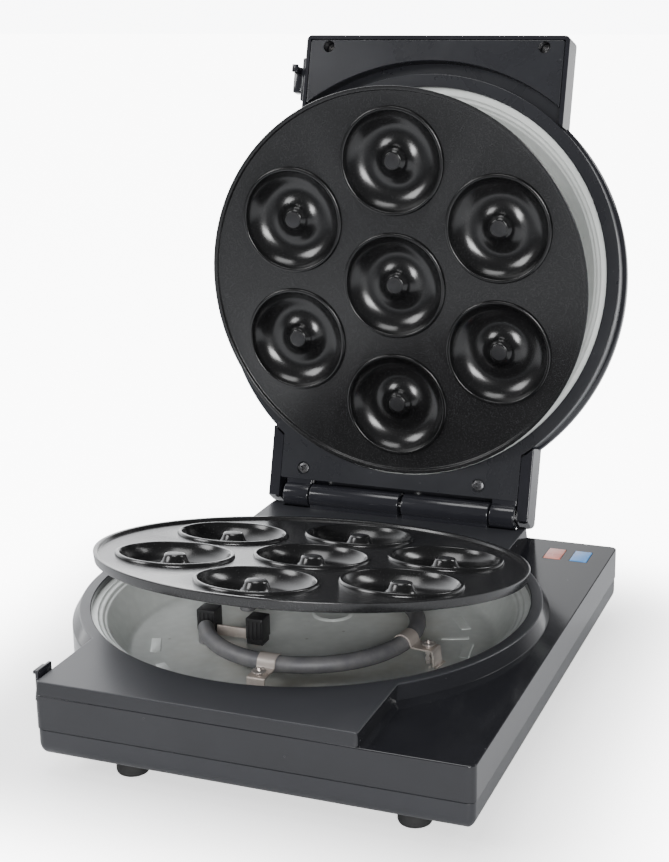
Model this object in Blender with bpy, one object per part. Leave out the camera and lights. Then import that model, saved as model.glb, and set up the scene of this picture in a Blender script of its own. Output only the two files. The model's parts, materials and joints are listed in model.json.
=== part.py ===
"""A seven-ring donut maker, standing open with both baking plates tipped out of their seats.

Everything is drawn about the baking plates' own axis, in metres, with +Z up, the hinge at the
back (+Y) and the floor at z = 0. An empty then shifts the whole appliance so that the middle
of its footprint is at the origin. The lid is drawn closed and turned open about its hinge.
"""
import math

import bmesh
import bpy
from mathutils import Matrix, Vector

mm = 0.001

# ---------------------------------------------------------------- driving dimensions
GAP = 0.3 * mm                 # clearance kept between pieces that touch
WALL = 2.5 * mm                # moulded wall of the base
COVER_WALL = 2.2 * mm          # moulded wall of the lid cover
SHEET = 0.8 * mm               # pressed steel of the reflector pans

FOOT_HEIGHT = 8.0 * mm
FOOT_RADIUS = 7.0 * mm
LEFT_FEET_X, RIGHT_FEET_X = -35.0 * mm, 88.0 * mm
FRONT_FEET_Y, BACK_FEET_Y = -111.0 * mm, 104.0 * mm
LOWER_SHELL_HEIGHT = 12.0 * mm     # underside to parting line
UPPER_SHELL_HEIGHT = 15.4 * mm     # parting line to control strip
RAISED_HEIGHT = 5.7 * mm           # control strip to raised deck

FRONT = 126.5 * mm                 # plate axis to the base's front face
BACK = 120.0 * mm                  # plate axis to the base's back face
DECK_HALF_WIDTH = 71.0 * mm        # raised deck, either side of the plate axis
STRIP_EDGE = 116.5 * mm            # plate axis to the control strip's right edge
FACE_SLOPE = 1.5 * mm              # how far the raised faces lean back
SHELL_STEP = 0.6 * mm              # how far the lower shell stands in from the upper one

PLATE_RADIUS = 99.5 * mm
PLATE_TAPER = 0.8 * mm             # skirt draft, lip to lower edge
LOWER_SKIRT = 4.4 * mm
UPPER_SKIRT = 3.3 * mm
LIP_DEPTH = 1.6 * mm               # plate face below its lip
LIP_WIDTH = 2.2 * mm
PLATE_WALL = 2.4 * mm              # thickness of the plate face
LOWER_LIP_PROUD = 1.1 * mm         # seated lip above the raised deck
UPPER_LIP_PROUD = 0.3 * mm         # seated lip below the lid's face
PLATE_CLEARANCE = 0.9 * mm         # plate to the bore of the base ring
RIM_CLEARANCE = 1.3 * mm           # plate to the bore of the lid ring

WELL_PITCH = 62.6 * mm
WELL_RADIUS = 27.2 * mm            # outside of the raised bead
WELL_BEAD = 2.0 * mm
WELL_DEPTH = 8.2 * mm
WELL_SKIN = 1.2 * mm
POST_RADIUS = 4.4 * mm
LOWER_POST_DROP = 0.75 * mm        # post tops below the lip
UPPER_POST_DROP = 2.45 * mm

RING_RADIUS = 105.5 * mm           # top of the base ring
RING_FOOT = 109.0 * mm             # its wall where it meets the control strip
RING_LIP = 3.4 * mm                # thickness of the ring over the pan's flange

FLANGE_WIDTH = 8.0 * mm            # reflector pan
FLANGE_COVER = 3.0 * mm            # how far the ring overlaps the flange
LOWER_PAN_DEPTH = 19.0 * mm
UPPER_PAN_DEPTH = 17.0 * mm
PAN_SLOPE = 11.0 * mm

HINGE_Y = 117.0 * mm               # hinge axis behind the plate axis
HINGE_RISE = 5.3 * mm              # hinge axis above the raised deck
KNUCKLE_RADIUS = 6.4 * mm
PIN_RADIUS = 2.0 * mm
LID_OPEN = math.radians(106.2)
LOWER_TILT = math.radians(10.1)
UPPER_TILT = math.radians(18.6)

LID_FACE_DROP = 2.3 * mm           # lid face below the hinge axis when closed
LID_FRONT = 127.5 * mm
LID_HALF_WIDTH = 71.5 * mm
LID_BACK = 123.0 * mm
LID_THICKNESS = 18.0 * mm
DOME_RISE = 10.0 * mm
EDGE_ROUND = 2.5 * mm
RIM_SETBACK = 9.0 * mm             # lid ring stands this far out of the cover's round rim
LID_RING_RADIUS = 107.4 * mm
GROOVE_RADIUS = 114.3 * mm
FRAME_BACK = 108.6 * mm
FRAME_HALF_FRONT = 69.0 * mm
FRAME_HALF_BACK = 65.2 * mm

ELEMENT_RADIUS = 48.8 * mm
ELEMENT_TUBE = 4.0 * mm
ELEMENT_DROP = 14.0 * mm           # lower element's axis below the raised deck
UPPER_ELEMENT_RISE = 13.6 * mm     # upper element's axis behind the lid's face
ELEMENT_START = math.radians(210)  # from +X, anticlockwise seen from above
ELEMENT_SWEEP = math.radians(295)
CLAMP_ANGLES = (270, 352)          # degrees from +X, anticlockwise seen from above

LAMP_LENGTH = 14.4 * mm
LAMP_WIDTH = 9.0 * mm
LAMP_Y = 100.8 * mm
RED_LAMP_X = 89.2 * mm
BLUE_LAMP_X = 102.4 * mm
LENS_THICKNESS = 2.4 * mm
LENS_PROUD = 0.3 * mm

LATCH_Y = -104.5 * mm
LATCH_LENGTH = 23.0 * mm
LATCH_TAB = 13.6 * mm
LATCH_TRAVEL = 6.0 * mm
LATCH_PLATE = 2.4 * mm
CATCH_Y = -115.5 * mm
CATCH_LENGTH = 11.0 * mm

BIG_STEPS = 72                     # flats around the large rings
WELL_STEPS = 18                    # flats around each well
SMALL_STEPS = 16                   # flats around screws and knuckles

# ---------------------------------------------------------------- derived heights
PARTING_Z = FOOT_HEIGHT + LOWER_SHELL_HEIGHT
STRIP_Z = PARTING_Z + UPPER_SHELL_HEIGHT
DECK_Z = STRIP_Z + RAISED_HEIGHT
HINGE_Z = DECK_Z + HINGE_RISE
FACE_Z = HINGE_Z - LID_FACE_DROP
LID_TOP = FACE_Z + LID_THICKNESS
BORE = PLATE_RADIUS + PLATE_CLEARANCE
LID_BORE = PLATE_RADIUS + RIM_CLEARANCE
FLANGE_TOP = DECK_Z - RING_LIP - GAP
LOWER_LIP_Z = DECK_Z + LOWER_LIP_PROUD
UPPER_LIP_Z = FACE_Z - UPPER_LIP_PROUD
PAN_RADIUS = BORE + FLANGE_COVER
LOWER_FLOOR_Z = FLANGE_TOP - LOWER_PAN_DEPTH
PIVOT_Y = PLATE_RADIUS - PLATE_TAPER
LOWER_PIVOT_Z = LOWER_LIP_Z - LOWER_SKIRT
UPPER_PIVOT_Z = UPPER_LIP_Z + UPPER_SKIRT
UPPER_FLANGE_Z = UPPER_PIVOT_Z + 0.4 * mm
UPPER_FLOOR_Z = UPPER_FLANGE_Z + UPPER_PAN_DEPTH
ELEMENT_Z = DECK_Z - ELEMENT_DROP
UPPER_ELEMENT_Z = FACE_Z + UPPER_ELEMENT_RISE

# the open lid's top corner is the appliance's rearmost point
REACH = HINGE_Y + LID_FRONT
LEAN = LID_THICKNESS - LID_FACE_DROP
CORNER = 0.28 * EDGE_ROUND           # what the rounding takes off that corner
REARMOST = HINGE_Y - REACH * math.cos(LID_OPEN) + LEAN * math.sin(LID_OPEN) - CORNER
CENTRE_X = (STRIP_EDGE - RING_FOOT) / 2
CENTRE_Y = (REARMOST - FRONT) / 2

for old in list(bpy.data.objects):
    bpy.data.objects.remove(old, do_unlink=True)


# ---------------------------------------------------------------- materials
def finish(name, colour, roughness, metallic=0.0):
    """A plain Principled material."""
    material = bpy.data.materials.new(name)
    material.use_nodes = True
    shader = material.node_tree.nodes["Principled BSDF"]
    shader.inputs["Base Color"].default_value = (*colour, 1.0)
    shader.inputs["Roughness"].default_value = roughness
    shader.inputs["Metallic"].default_value = metallic
    return material


GLOSS_BLACK = finish("gloss_black_plastic", (0.035, 0.036, 0.042), 0.25)
SATIN_BLACK = finish("satin_black_plastic", (0.045, 0.046, 0.052), 0.45)
NON_STICK = finish("non_stick_coating", (0.03, 0.03, 0.033), 0.35)
PAN_STEEL = finish("aluminised_steel", (0.66, 0.68, 0.67), 0.38, 1.0)
ELEMENT_STEEL = finish("heater_sheath", (0.11, 0.11, 0.12), 0.5, 0.8)
SCREW_STEEL = finish("plated_steel", (0.55, 0.53, 0.51), 0.35, 1.0)
RUBBER = finish("black_rubber", (0.02, 0.02, 0.02), 0.8)
RED_LENS = finish("red_lens", (0.75, 0.24, 0.20), 0.2)
BLUE_LENS = finish("blue_lens", (0.10, 0.33, 0.75), 0.2)
PHENOLIC = finish("black_phenolic", (0.03, 0.03, 0.03), 0.6)
BRASS = finish("brass_terminal", (0.60, 0.44, 0.30), 0.4, 1.0)
LAMP_GLASS = finish("lamp_body", (0.80, 0.78, 0.72), 0.3)
HINGE_STEEL = finish("hinge_steel", (0.50, 0.50, 0.50), 0.3, 1.0)


# ---------------------------------------------------------------- the moving frames
def axis_empty(name, location, turn=0.0, parent=None):
    """An empty on a joint's axis, turned about X."""
    empty = bpy.data.objects.new(name, None)
    bpy.context.scene.collection.objects.link(empty)
    empty.location = location
    empty.rotation_euler = (turn, 0.0, 0.0)
    empty.parent = parent
    return empty


APPLIANCE = axis_empty("appliance", (-CENTRE_X, -CENTRE_Y, 0.0))
LID_AXIS = axis_empty("lid_axis", (0.0, HINGE_Y, HINGE_Z), -LID_OPEN, APPLIANCE)
LOWER_AXIS = axis_empty("lower_plate_axis", (0.0, PIVOT_Y, LOWER_PIVOT_Z), -LOWER_TILT, APPLIANCE)
UPPER_AXIS = axis_empty("upper_plate_axis", (0.0, PIVOT_Y - HINGE_Y, UPPER_PIVOT_Z - HINGE_Z),
                        UPPER_TILT, LID_AXIS)
# where the plate axis and the floor are, seen from each moving frame
DRAWN_FROM = {
    APPLIANCE: (0.0, 0.0, 0.0),
    LID_AXIS: (0.0, -HINGE_Y, -HINGE_Z),
    LOWER_AXIS: (0.0, -PIVOT_Y, -LOWER_PIVOT_Z),
    UPPER_AXIS: (0.0, -PIVOT_Y, -UPPER_PIVOT_Z),
}


def place(name, bm, material, parent=APPLIANCE, helper=False):
    """Make an object of a bmesh drawn about the plate axis, on one of the moving frames."""
    bmesh.ops.remove_doubles(bm, verts=bm.verts, dist=1e-6)
    bmesh.ops.recalc_face_normals(bm, faces=bm.faces)
    mesh = bpy.data.meshes.new(name)
    bm.to_mesh(mesh)
    bm.free()
    mesh.shade_smooth()
    mesh.set_sharp_from_angle(angle=math.radians(32))
    piece = bpy.data.objects.new(name, mesh)
    bpy.context.scene.collection.objects.link(piece)
    piece.parent = parent
    piece.location = DRAWN_FROM[parent]
    if helper:
        piece.hide_render = True
        piece.display_type = "WIRE"
    else:
        mesh.materials.append(material)
    return piece


def combine(piece, operation, *helpers):
    """Unite a piece with helper shapes, or cut them out of it."""
    for helper in helpers:
        boolean = piece.modifiers.new(helper.name, "BOOLEAN")
        boolean.operation = operation
        boolean.object = helper


# ---------------------------------------------------------------- shapes
def arc(radius, start, end, steps, centre=(0.0, 0.0)):
    """Points of a round stretch of outline, angles in degrees."""
    angles = [math.radians(start + (end - start) * i / steps) for i in range(steps + 1)]
    return [(centre[0] + radius * math.cos(a), centre[1] + radius * math.sin(a)) for a in angles]


def prism(outline, low, high, top=None):
    """An upright solid on an outline, with another outline of as many points for its top."""
    bm = bmesh.new()
    under = [bm.verts.new((x, y, low)) for x, y in outline]
    over = [bm.verts.new((x, y, high)) for x, y in (top or outline)]
    bm.faces.new(under)
    bm.faces.new(over)
    for i in range(len(under)):
        j = (i + 1) % len(under)
        bm.faces.new((under[i], under[j], over[j], over[i]))
    return bm


def slab(low, high, bevel=0.0):
    """A box between two corners, with its edges rounded if asked."""
    bm = bmesh.new()
    bmesh.ops.create_cube(bm, size=1.0)
    for vert in bm.verts:
        vert.co = Vector([low[i] + (vert.co[i] + 0.5) * (high[i] - low[i]) for i in range(3)])
    if bevel:
        bmesh.ops.bevel(bm, geom=bm.edges[:], offset=bevel, segments=1, profile=0.5,
                        affect="EDGES", material=-1)
    return bm


def turned(profile, steps=BIG_STEPS, centre=(0.0, 0.0)):
    """A turned solid from (radius, z) points; a profile off the axis closes into a ring."""
    bm = bmesh.new()
    verts = [bm.verts.new((r, 0.0, z)) for r, z in profile]
    edges = [bm.edges.new((a, b)) for a, b in zip(verts, verts[1:])]
    if min(profile[0][0], profile[-1][0]) > 0:
        edges.append(bm.edges.new((verts[-1], verts[0])))
    bmesh.ops.spin(bm, geom=verts + edges, cent=(0, 0, 0), axis=(0, 0, 1), dvec=(0, 0, 0),
                   angle=math.tau, steps=steps, use_merge=True, use_duplicate=False)
    bmesh.ops.remove_doubles(bm, verts=bm.verts, dist=1e-6)
    bmesh.ops.translate(bm, verts=bm.verts, vec=(*centre, 0.0))
    return bm


def rod(radius, start, end, steps=SMALL_STEPS):
    """A round bar between two points."""
    start, end = Vector(start), Vector(end)
    bm = bmesh.new()
    bmesh.ops.create_cone(bm, cap_ends=True, segments=steps, radius1=radius, radius2=radius,
                          depth=(end - start).length)
    turn = (end - start).to_track_quat("Z", "Y").to_matrix().to_4x4()
    bmesh.ops.transform(bm, matrix=Matrix.Translation((start + end) / 2) @ turn, verts=bm.verts)
    return bm


def helper(name, bm, parent=APPLIANCE):
    """A shape that only unites with or cuts another piece."""
    return place(name, bm, None, parent, helper=True)


# ---------------------------------------------------------------- base
def base_outline(inset=0.0):
    """The base seen from above: a rectangle whose left side bulges round the ring."""
    left, front, back = DECK_HALF_WIDTH - inset, FRONT - inset, BACK - inset
    right, bulge = STRIP_EDGE - inset, RING_FOOT - inset
    meet = math.degrees(math.acos(left / bulge))
    return ([(-left, -front), (right, -front), (right, back), (-left, back)]
            + arc(bulge, 180 - meet, 180 + meet, 24))


def deck_outline(front, half, back):
    return [(-half, -front), (half, -front), (half, back), (-half, back)]


def knuckle_spans():
    """X limits of the four hinge knuckles: lid, base, base, lid."""
    return ((-61.6 * mm, -47.5 * mm), (-46.9 * mm, 2.9 * mm), (4.6 * mm, 51.3 * mm),
            (51.9 * mm, 64.9 * mm))


def base_screw_places():
    return ((-55 * mm, -100 * mm), (100 * mm, -100 * mm), (-55 * mm, 104 * mm), (100 * mm, 72 * mm))


def build_upper_shell():
    shell = place("base_upper_shell", prism(base_outline(), PARTING_Z + GAP / 2, STRIP_Z), GLOSS_BLACK)
    deck = prism(deck_outline(FRONT, DECK_HALF_WIDTH, BACK), STRIP_Z - WALL, DECK_Z,
                 deck_outline(FRONT - FACE_SLOPE, DECK_HALF_WIDTH - 1 * mm, BACK - FACE_SLOPE))
    ring = turned([(0, STRIP_Z - WALL), (RING_FOOT, STRIP_Z - WALL), (RING_FOOT, STRIP_Z),
                   (RING_RADIUS, DECK_Z), (0, DECK_Z)])
    combine(shell, "UNION", helper("raised_deck", deck), helper("raised_ring", ring))
    below = PARTING_Z - 1 * mm
    hollow = prism(base_outline(WALL), below, STRIP_Z - WALL)
    deck_hollow = prism(deck_outline(FRONT - WALL - FACE_SLOPE, DECK_HALF_WIDTH - WALL - 1 * mm,
                                     BACK - WALL - FACE_SLOPE), below, DECK_Z - WALL)
    bore = turned([(0, below), (PAN_RADIUS + GAP, below), (PAN_RADIUS + GAP, DECK_Z - RING_LIP),
                   (BORE, DECK_Z - RING_LIP), (BORE, DECK_Z + 1 * mm), (0, DECK_Z + 1 * mm)])
    spans = knuckle_spans()
    relief = [rod(KNUCKLE_RADIUS + 0.8 * mm, (low - 0.7 * mm, HINGE_Y, HINGE_Z),
                  (high + 0.7 * mm, HINGE_Y, HINGE_Z)) for low, high in (spans[0], spans[3])]
    combine(shell, "DIFFERENCE", helper("shell_hollow", hollow), helper("deck_hollow", deck_hollow),
            helper("pan_bore", bore), *[helper("knuckle_relief", bm) for bm in relief])
    for x, label in ((RED_LAMP_X, "red"), (BLUE_LAMP_X, "blue")):
        window = slab((x - LAMP_WIDTH / 2, LAMP_Y - LAMP_LENGTH / 2, STRIP_Z - 2 * WALL),
                      (x + LAMP_WIDTH / 2, LAMP_Y + LAMP_LENGTH / 2, STRIP_Z + 1 * mm))
        combine(shell, "DIFFERENCE", helper(label + "_window", window))
    for low, high in spans[1:3]:
        neck = slab((low, HINGE_Y - 5.4 * mm, DECK_Z - 1.2 * mm), (high, HINGE_Y + 1.4 * mm, HINGE_Z))
        barrel = rod(KNUCKLE_RADIUS, (low, HINGE_Y, HINGE_Z), (high, HINGE_Y, HINGE_Z), 24)
        combine(shell, "UNION", helper("knuckle_neck", neck), helper("knuckle_barrel", barrel))
    for x, y in base_screw_places():
        ceiling = DECK_Z if abs(x) < DECK_HALF_WIDTH else STRIP_Z
        boss = rod(4 * mm, (x, y, PARTING_Z - 4 * mm), (x, y, ceiling - WALL / 2), 12)
        hole = rod(1.8 * mm, (x, y, PARTING_Z - 5 * mm), (x, y, PARTING_Z + 8 * mm), 8)
        combine(shell, "UNION", helper("screw_boss", boss))
        combine(shell, "DIFFERENCE", helper("screw_pilot", hole))
    pin_hole = rod(PIN_RADIUS + GAP, (spans[0][0] - 3 * mm, HINGE_Y, HINGE_Z),
                   (spans[3][1] + 3 * mm, HINGE_Y, HINGE_Z))
    combine(shell, "DIFFERENCE", helper("pin_hole", pin_hole))
    return shell


def build_lower_shell():
    round_edge = 4.5 * mm
    shell = place("base_lower_shell", prism(base_outline(SHELL_STEP), FOOT_HEIGHT + round_edge,
                                            PARTING_Z - GAP / 2), SATIN_BLACK)
    belly = prism(base_outline(SHELL_STEP + round_edge), FOOT_HEIGHT, FOOT_HEIGHT + round_edge,
                  base_outline(SHELL_STEP))
    combine(shell, "UNION", helper("belly", belly))
    floor = FOOT_HEIGHT + WALL
    hollow = prism(base_outline(SHELL_STEP + WALL + round_edge), floor, PARTING_Z + 1 * mm,
                   base_outline(SHELL_STEP + WALL))
    combine(shell, "DIFFERENCE", helper("belly_hollow", hollow))
    for x, y in base_screw_places():
        pocket = rod(3.4 * mm, (x, y, FOOT_HEIGHT - 1 * mm), (x, y, FOOT_HEIGHT + 1.4 * mm), 12)
        hole = rod(1.8 * mm, (x, y, FOOT_HEIGHT), (x, y, floor + 1 * mm), 8)
        combine(shell, "DIFFERENCE", helper("screw_pocket", pocket), helper("screw_hole", hole))
    x, y, z = gland_place()
    opening = rod(3.3 * mm, (x, y - 8 * mm, z), (x, y + 3 * mm, z), 16)
    combine(shell, "DIFFERENCE", helper("gland_hole", opening))
    return shell


def gland_place():
    """Centre of the lead's gland, on the base's back wall."""
    return (40 * mm, BACK - SHELL_STEP, FOOT_HEIGHT + 7.7 * mm)


def build_base_fittings():
    feet = [(x, y) for y in (FRONT_FEET_Y, BACK_FEET_Y) for x in (LEFT_FEET_X, RIGHT_FEET_X)]
    for i, (x, y) in enumerate(feet, 1):
        profile = [(0, 0), (FOOT_RADIUS - 1 * mm, 0), (FOOT_RADIUS, 1 * mm),
                   (FOOT_RADIUS, FOOT_HEIGHT - GAP), (0, FOOT_HEIGHT - GAP)]
        place(f"foot_{i}", turned(profile, 20, (x, y)), RUBBER)
    for i, (x, y) in enumerate(base_screw_places(), 1):
        low = FOOT_HEIGHT + 0.2 * mm
        head = turned([(0, low), (3 * mm, low), (3 * mm, low + 0.9 * mm), (1.5 * mm, low + 0.9 * mm),
                       (1.5 * mm, PARTING_Z + 6 * mm), (0, PARTING_Z + 6 * mm)], 8, (x, y))
        place(f"base_screw_{i}", head, SCREW_STEEL)
    x, y, z = gland_place()
    bush = rod(3 * mm, (x, y - WALL - 1 * mm, z), (x, y + 1 * mm, z), 16)
    gland = place("cord_gland", bush, RUBBER)
    collar = rod(3.9 * mm, (x, y + GAP, z), (x, y + 2.2 * mm, z), 16)
    combine(gland, "UNION", helper("gland_collar", collar))
    combine(gland, "DIFFERENCE", helper("gland_bore", rod(2.2 * mm, (x, y - 9 * mm, z), (x, y + 5 * mm, z))))


def build_pan(name, flange_z, depth, radius, down, parent):
    """A pressed reflector pan; down is -1 where it hangs under its flange, +1 in the lid."""
    inner = radius - FLANGE_WIDTH
    floor = inner - PAN_SLOPE
    outline = [(radius, 0), (inner, 0), (inner - 1.5 * mm, 3 * mm), (floor, depth - 1.5 * mm),
               (floor - 2 * mm, depth), (0, depth)]
    back = [(0, depth + SHEET), (floor - 2 * mm, depth + SHEET), (floor + 0.6 * mm, depth - 0.9 * mm),
            (inner - 0.8 * mm, 3 * mm), (inner + 0.3 * mm, SHEET), (radius, SHEET)]
    profile = [(r, flange_z + down * z) for r, z in outline + back]
    bm = turned(profile + [profile[0]])
    return place(name, bm, PAN_STEEL, parent)


def build_element(name, z, leg, parent, down):
    """A ring heater on a curve: most of a circle, its two cold ends turned down."""
    curve = bpy.data.curves.new(name, "CURVE")
    curve.dimensions = "3D"
    curve.bevel_depth = ELEMENT_TUBE
    curve.bevel_resolution = 2
    curve.use_fill_caps = True
    ring = [ELEMENT_START + ELEMENT_SWEEP * i / 40 for i in range(41)]
    points = [(ELEMENT_RADIUS * math.cos(a), ELEMENT_RADIUS * math.sin(a), z) for a in ring]

    def cold_end(angle, way):
        """The heater's end, bending off the circle and down through a quarter turn."""
        turn = 6 * mm
        out = []
        for step in range(1, 5):
            bend = math.pi / 2 * step / 4
            along = turn * math.sin(bend) / ELEMENT_RADIUS
            a = angle + way * along
            out.append((ELEMENT_RADIUS * math.cos(a), ELEMENT_RADIUS * math.sin(a),
                        z + down * turn * (1 - math.cos(bend))))
        x, y, _ = out[-1]
        return out + [(x, y, z + down * leg)]

    points = cold_end(ring[0], -1)[::-1] + points + cold_end(ring[-1], 1)
    spline = curve.splines.new("POLY")
    spline.points.add(len(points) - 1)
    for point, place_at in zip(spline.points, points):
        point.co = (*place_at, 1.0)
    curve.materials.append(ELEMENT_STEEL)
    piece = bpy.data.objects.new(name, curve)
    bpy.context.scene.collection.objects.link(piece)
    piece.parent = parent
    piece.location = DRAWN_FROM[parent]
    return piece


def build_clamps(prefix, z_floor, z_tube, parent, up):
    """Two foot clamps hold the ring to the pan floor, each with its own screw beside the tube."""
    for i, degrees in enumerate(CLAMP_ANGLES, 1):
        angle = math.radians(degrees)
        turn = Matrix.Rotation(angle, 4, "Z")
        near = ELEMENT_RADIUS + ELEMENT_TUBE + GAP
        low, high = sorted((z_floor + up * GAP, z_tube + up * 1.8 * mm))
        post = slab((near + 0.2 * mm, -4.5 * mm, low), (near + 1.6 * mm, 4.5 * mm, high))
        bmesh.ops.transform(post, matrix=turn, verts=post.verts)
        clamp = place(f"{prefix}_clamp_{i}", post, PAN_STEEL, parent)
        top = z_tube + up * 2.2 * mm
        shelf_low, shelf_high = sorted((top, top - up * 1.2 * mm))
        shelf = slab((near, -5 * mm, shelf_low), (near + 12 * mm, 5 * mm, shelf_high))
        bmesh.ops.transform(shelf, matrix=turn, verts=shelf.verts)
        combine(clamp, "UNION", helper("clamp_shelf", shelf, parent))
        out = near + 7 * mm
        x, y = out * math.cos(angle), out * math.sin(angle)
        hole = rod(1.8 * mm, (x, y, top + up * 2 * mm), (x, y, top - up * 4 * mm), 8)
        combine(clamp, "DIFFERENCE", helper("clamp_hole", hole, parent))
        tip = z_floor + up * GAP
        seat = top + up * GAP
        profile = [(0, tip), (1.5 * mm, tip), (1.5 * mm, seat), (3.6 * mm, seat),
                   (3.2 * mm, seat + up * 1.8 * mm), (0, seat + up * 1.8 * mm)]
        place(f"{prefix}_clamp_screw_{i}", turned(profile, 12, (x, y)), SCREW_STEEL, parent)


def build_thermostat():
    """The thermostat in the ring's gap: a bracket between two insulating blocks on terminals."""
    floor = LOWER_FLOOR_Z + GAP
    low, high = floor + 2.8 * mm, LOWER_LIP_Z - WELL_DEPTH - WELL_SKIN - 0.9 * mm
    bent_back = ELEMENT_START - 6 * mm / ELEMENT_RADIUS     # where the ring's cold end turns down
    clear_y = ELEMENT_RADIUS * math.sin(bent_back) + ELEMENT_TUBE + GAP
    for side, left, front, wide in (("left", -52 * mm, max(-14.6 * mm, clear_y), 9 * mm),
                                    ("right", -26 * mm, -17 * mm, 8.5 * mm)):
        block = slab((left, front, low), (left + wide, front + 9 * mm, high), 0.4 * mm)
        place("thermostat_block_" + side, block, PHENOLIC)
        tab = slab((left + 2 * mm, front + 1 * mm, floor), (left + wide - 2 * mm, front + 6 * mm, low - GAP))
        place("terminal_" + side, tab, BRASS)
    bracket = slab((-42.7 * mm, -13 * mm, floor + 1 * mm), (-26.3 * mm, -11.6 * mm, floor + 6 * mm))
    place("thermostat_bracket", bracket, PAN_STEEL)


def build_lamps():
    for label, x, lens_finish in (("red", RED_LAMP_X, RED_LENS), ("blue", BLUE_LAMP_X, BLUE_LENS)):
        half_w, half_l = LAMP_WIDTH / 2 - GAP, LAMP_LENGTH / 2 - GAP
        top = STRIP_Z + LENS_PROUD
        lens = slab((x - half_w, LAMP_Y - half_l, top - LENS_THICKNESS),
                    (x + half_w, LAMP_Y + half_l, top), 0.25 * mm)
        place(f"{label}_lens", lens, lens_finish)
        under = top - LENS_THICKNESS - GAP
        lamp = slab((x - 3.4 * mm, LAMP_Y - 6 * mm, under - 7 * mm),
                    (x + 3.4 * mm, LAMP_Y + 6 * mm, under), 1 * mm)
        place(f"{label}_lamp", lamp, LAMP_GLASS)


def build_inner_parts():
    low = FOOT_HEIGHT + WALL + GAP
    block = slab((28 * mm, 92 * mm, low), (52 * mm, 104 * mm, low + 9 * mm), 0.6 * mm)
    place("terminal_block", block, LAMP_GLASS)
    fuse = rod(1.8 * mm, (-12 * mm, 30 * mm, low + 2 * mm), (8 * mm, 30 * mm, low + 2 * mm), 12)
    place("thermal_fuse", fuse, SCREW_STEEL)
    left, right = knuckle_spans()[0][0] - 1.2 * mm, knuckle_spans()[3][1] + 0.2 * mm
    place("hinge_pin", rod(PIN_RADIUS, (left, HINGE_Y, HINGE_Z), (right, HINGE_Y, HINGE_Z), 16), HINGE_STEEL)


def build_catch():
    """The fixed half of the latch, on the base's left wall."""
    wall = -DECK_HALF_WIDTH - GAP
    low, high = CATCH_Y - CATCH_LENGTH / 2, CATCH_Y + CATCH_LENGTH / 2
    top = FACE_Z - 0.8 * mm
    plate = slab((wall - 1.6 * mm, low, STRIP_Z - 8 * mm), (wall, high, top))
    catch = place("latch_catch", plate, GLOSS_BLACK)
    ledge = slab((wall - 3.2 * mm, low, top - 1.6 * mm), (wall - 0.8 * mm, high - 3.2 * mm, top))
    combine(catch, "UNION", helper("catch_ledge", ledge))
    return catch


# ---------------------------------------------------------------- baking plates
def well_places():
    ring = [(WELL_PITCH * math.cos(math.radians(90 + 60 * k)),
             WELL_PITCH * math.sin(math.radians(90 + 60 * k))) for k in range(6)]
    return [(0.0, 0.0)] + ring


def build_plate(name, lip_z, skirt, post_drop, up, parent):
    """A cast plate: lip, face and skirt, with seven ring-shaped wells; up points out of the wells."""
    lip_in, face = PLATE_RADIUS - LIP_WIDTH, LIP_DEPTH
    under = face + PLATE_WALL
    rim = PLATE_RADIUS - PLATE_TAPER
    body = [(0, face), (lip_in, face), (lip_in + 0.4 * mm, 0), (PLATE_RADIUS, 0), (rim, skirt),
            (rim - 2 * mm, skirt), (rim - 2.4 * mm, min(under, skirt)), (0, min(under, skirt))]
    plate = place(name, turned([(r, lip_z - up * d) for r, d in body]), NON_STICK, parent)
    for x, y in well_places():
        bowl = [(0, WELL_DEPTH + WELL_SKIN), (13 * mm, WELL_DEPTH + WELL_SKIN),
                (22 * mm, WELL_DEPTH - 0.6 * mm), (25.5 * mm, 5.5 * mm), (WELL_RADIUS, under - 0.4 * mm),
                (WELL_RADIUS, 0.3 * mm), (WELL_RADIUS - WELL_BEAD, 0.3 * mm), (0, 0.3 * mm)]
        shell = turned([(r, lip_z - up * d) for r, d in bowl], WELL_STEPS, (x, y))
        combine(plate, "UNION", helper("well_shell", shell, parent))
    for x, y in well_places():
        ring = [(0, post_drop), (POST_RADIUS, post_drop), (POST_RADIUS + 2.6 * mm, WELL_DEPTH - 1.6 * mm),
                (14 * mm, WELL_DEPTH), (20.5 * mm, WELL_DEPTH - 1.8 * mm), (24.4 * mm, 3 * mm),
                (WELL_RADIUS - WELL_BEAD, -0.5 * mm), (0, -0.5 * mm)]
        cut = turned([(r, lip_z - up * d) for r, d in ring], WELL_STEPS, (x, y))
        combine(plate, "DIFFERENCE", helper("well_cut", cut, parent))
    return plate


# ---------------------------------------------------------------- lid
def behind(outline_front, half, radius):
    """A block of the lid seen from above: a rectangle ending on a round edge about the plate axis."""
    meet = math.degrees(math.asin(half / radius))
    side = 1 if outline_front > 0 else -1
    centre = 90 * side
    return [(-half, outline_front), (half, outline_front)] + arc(radius, centre - side * meet,
                                                                 centre + side * meet, 16)


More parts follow.
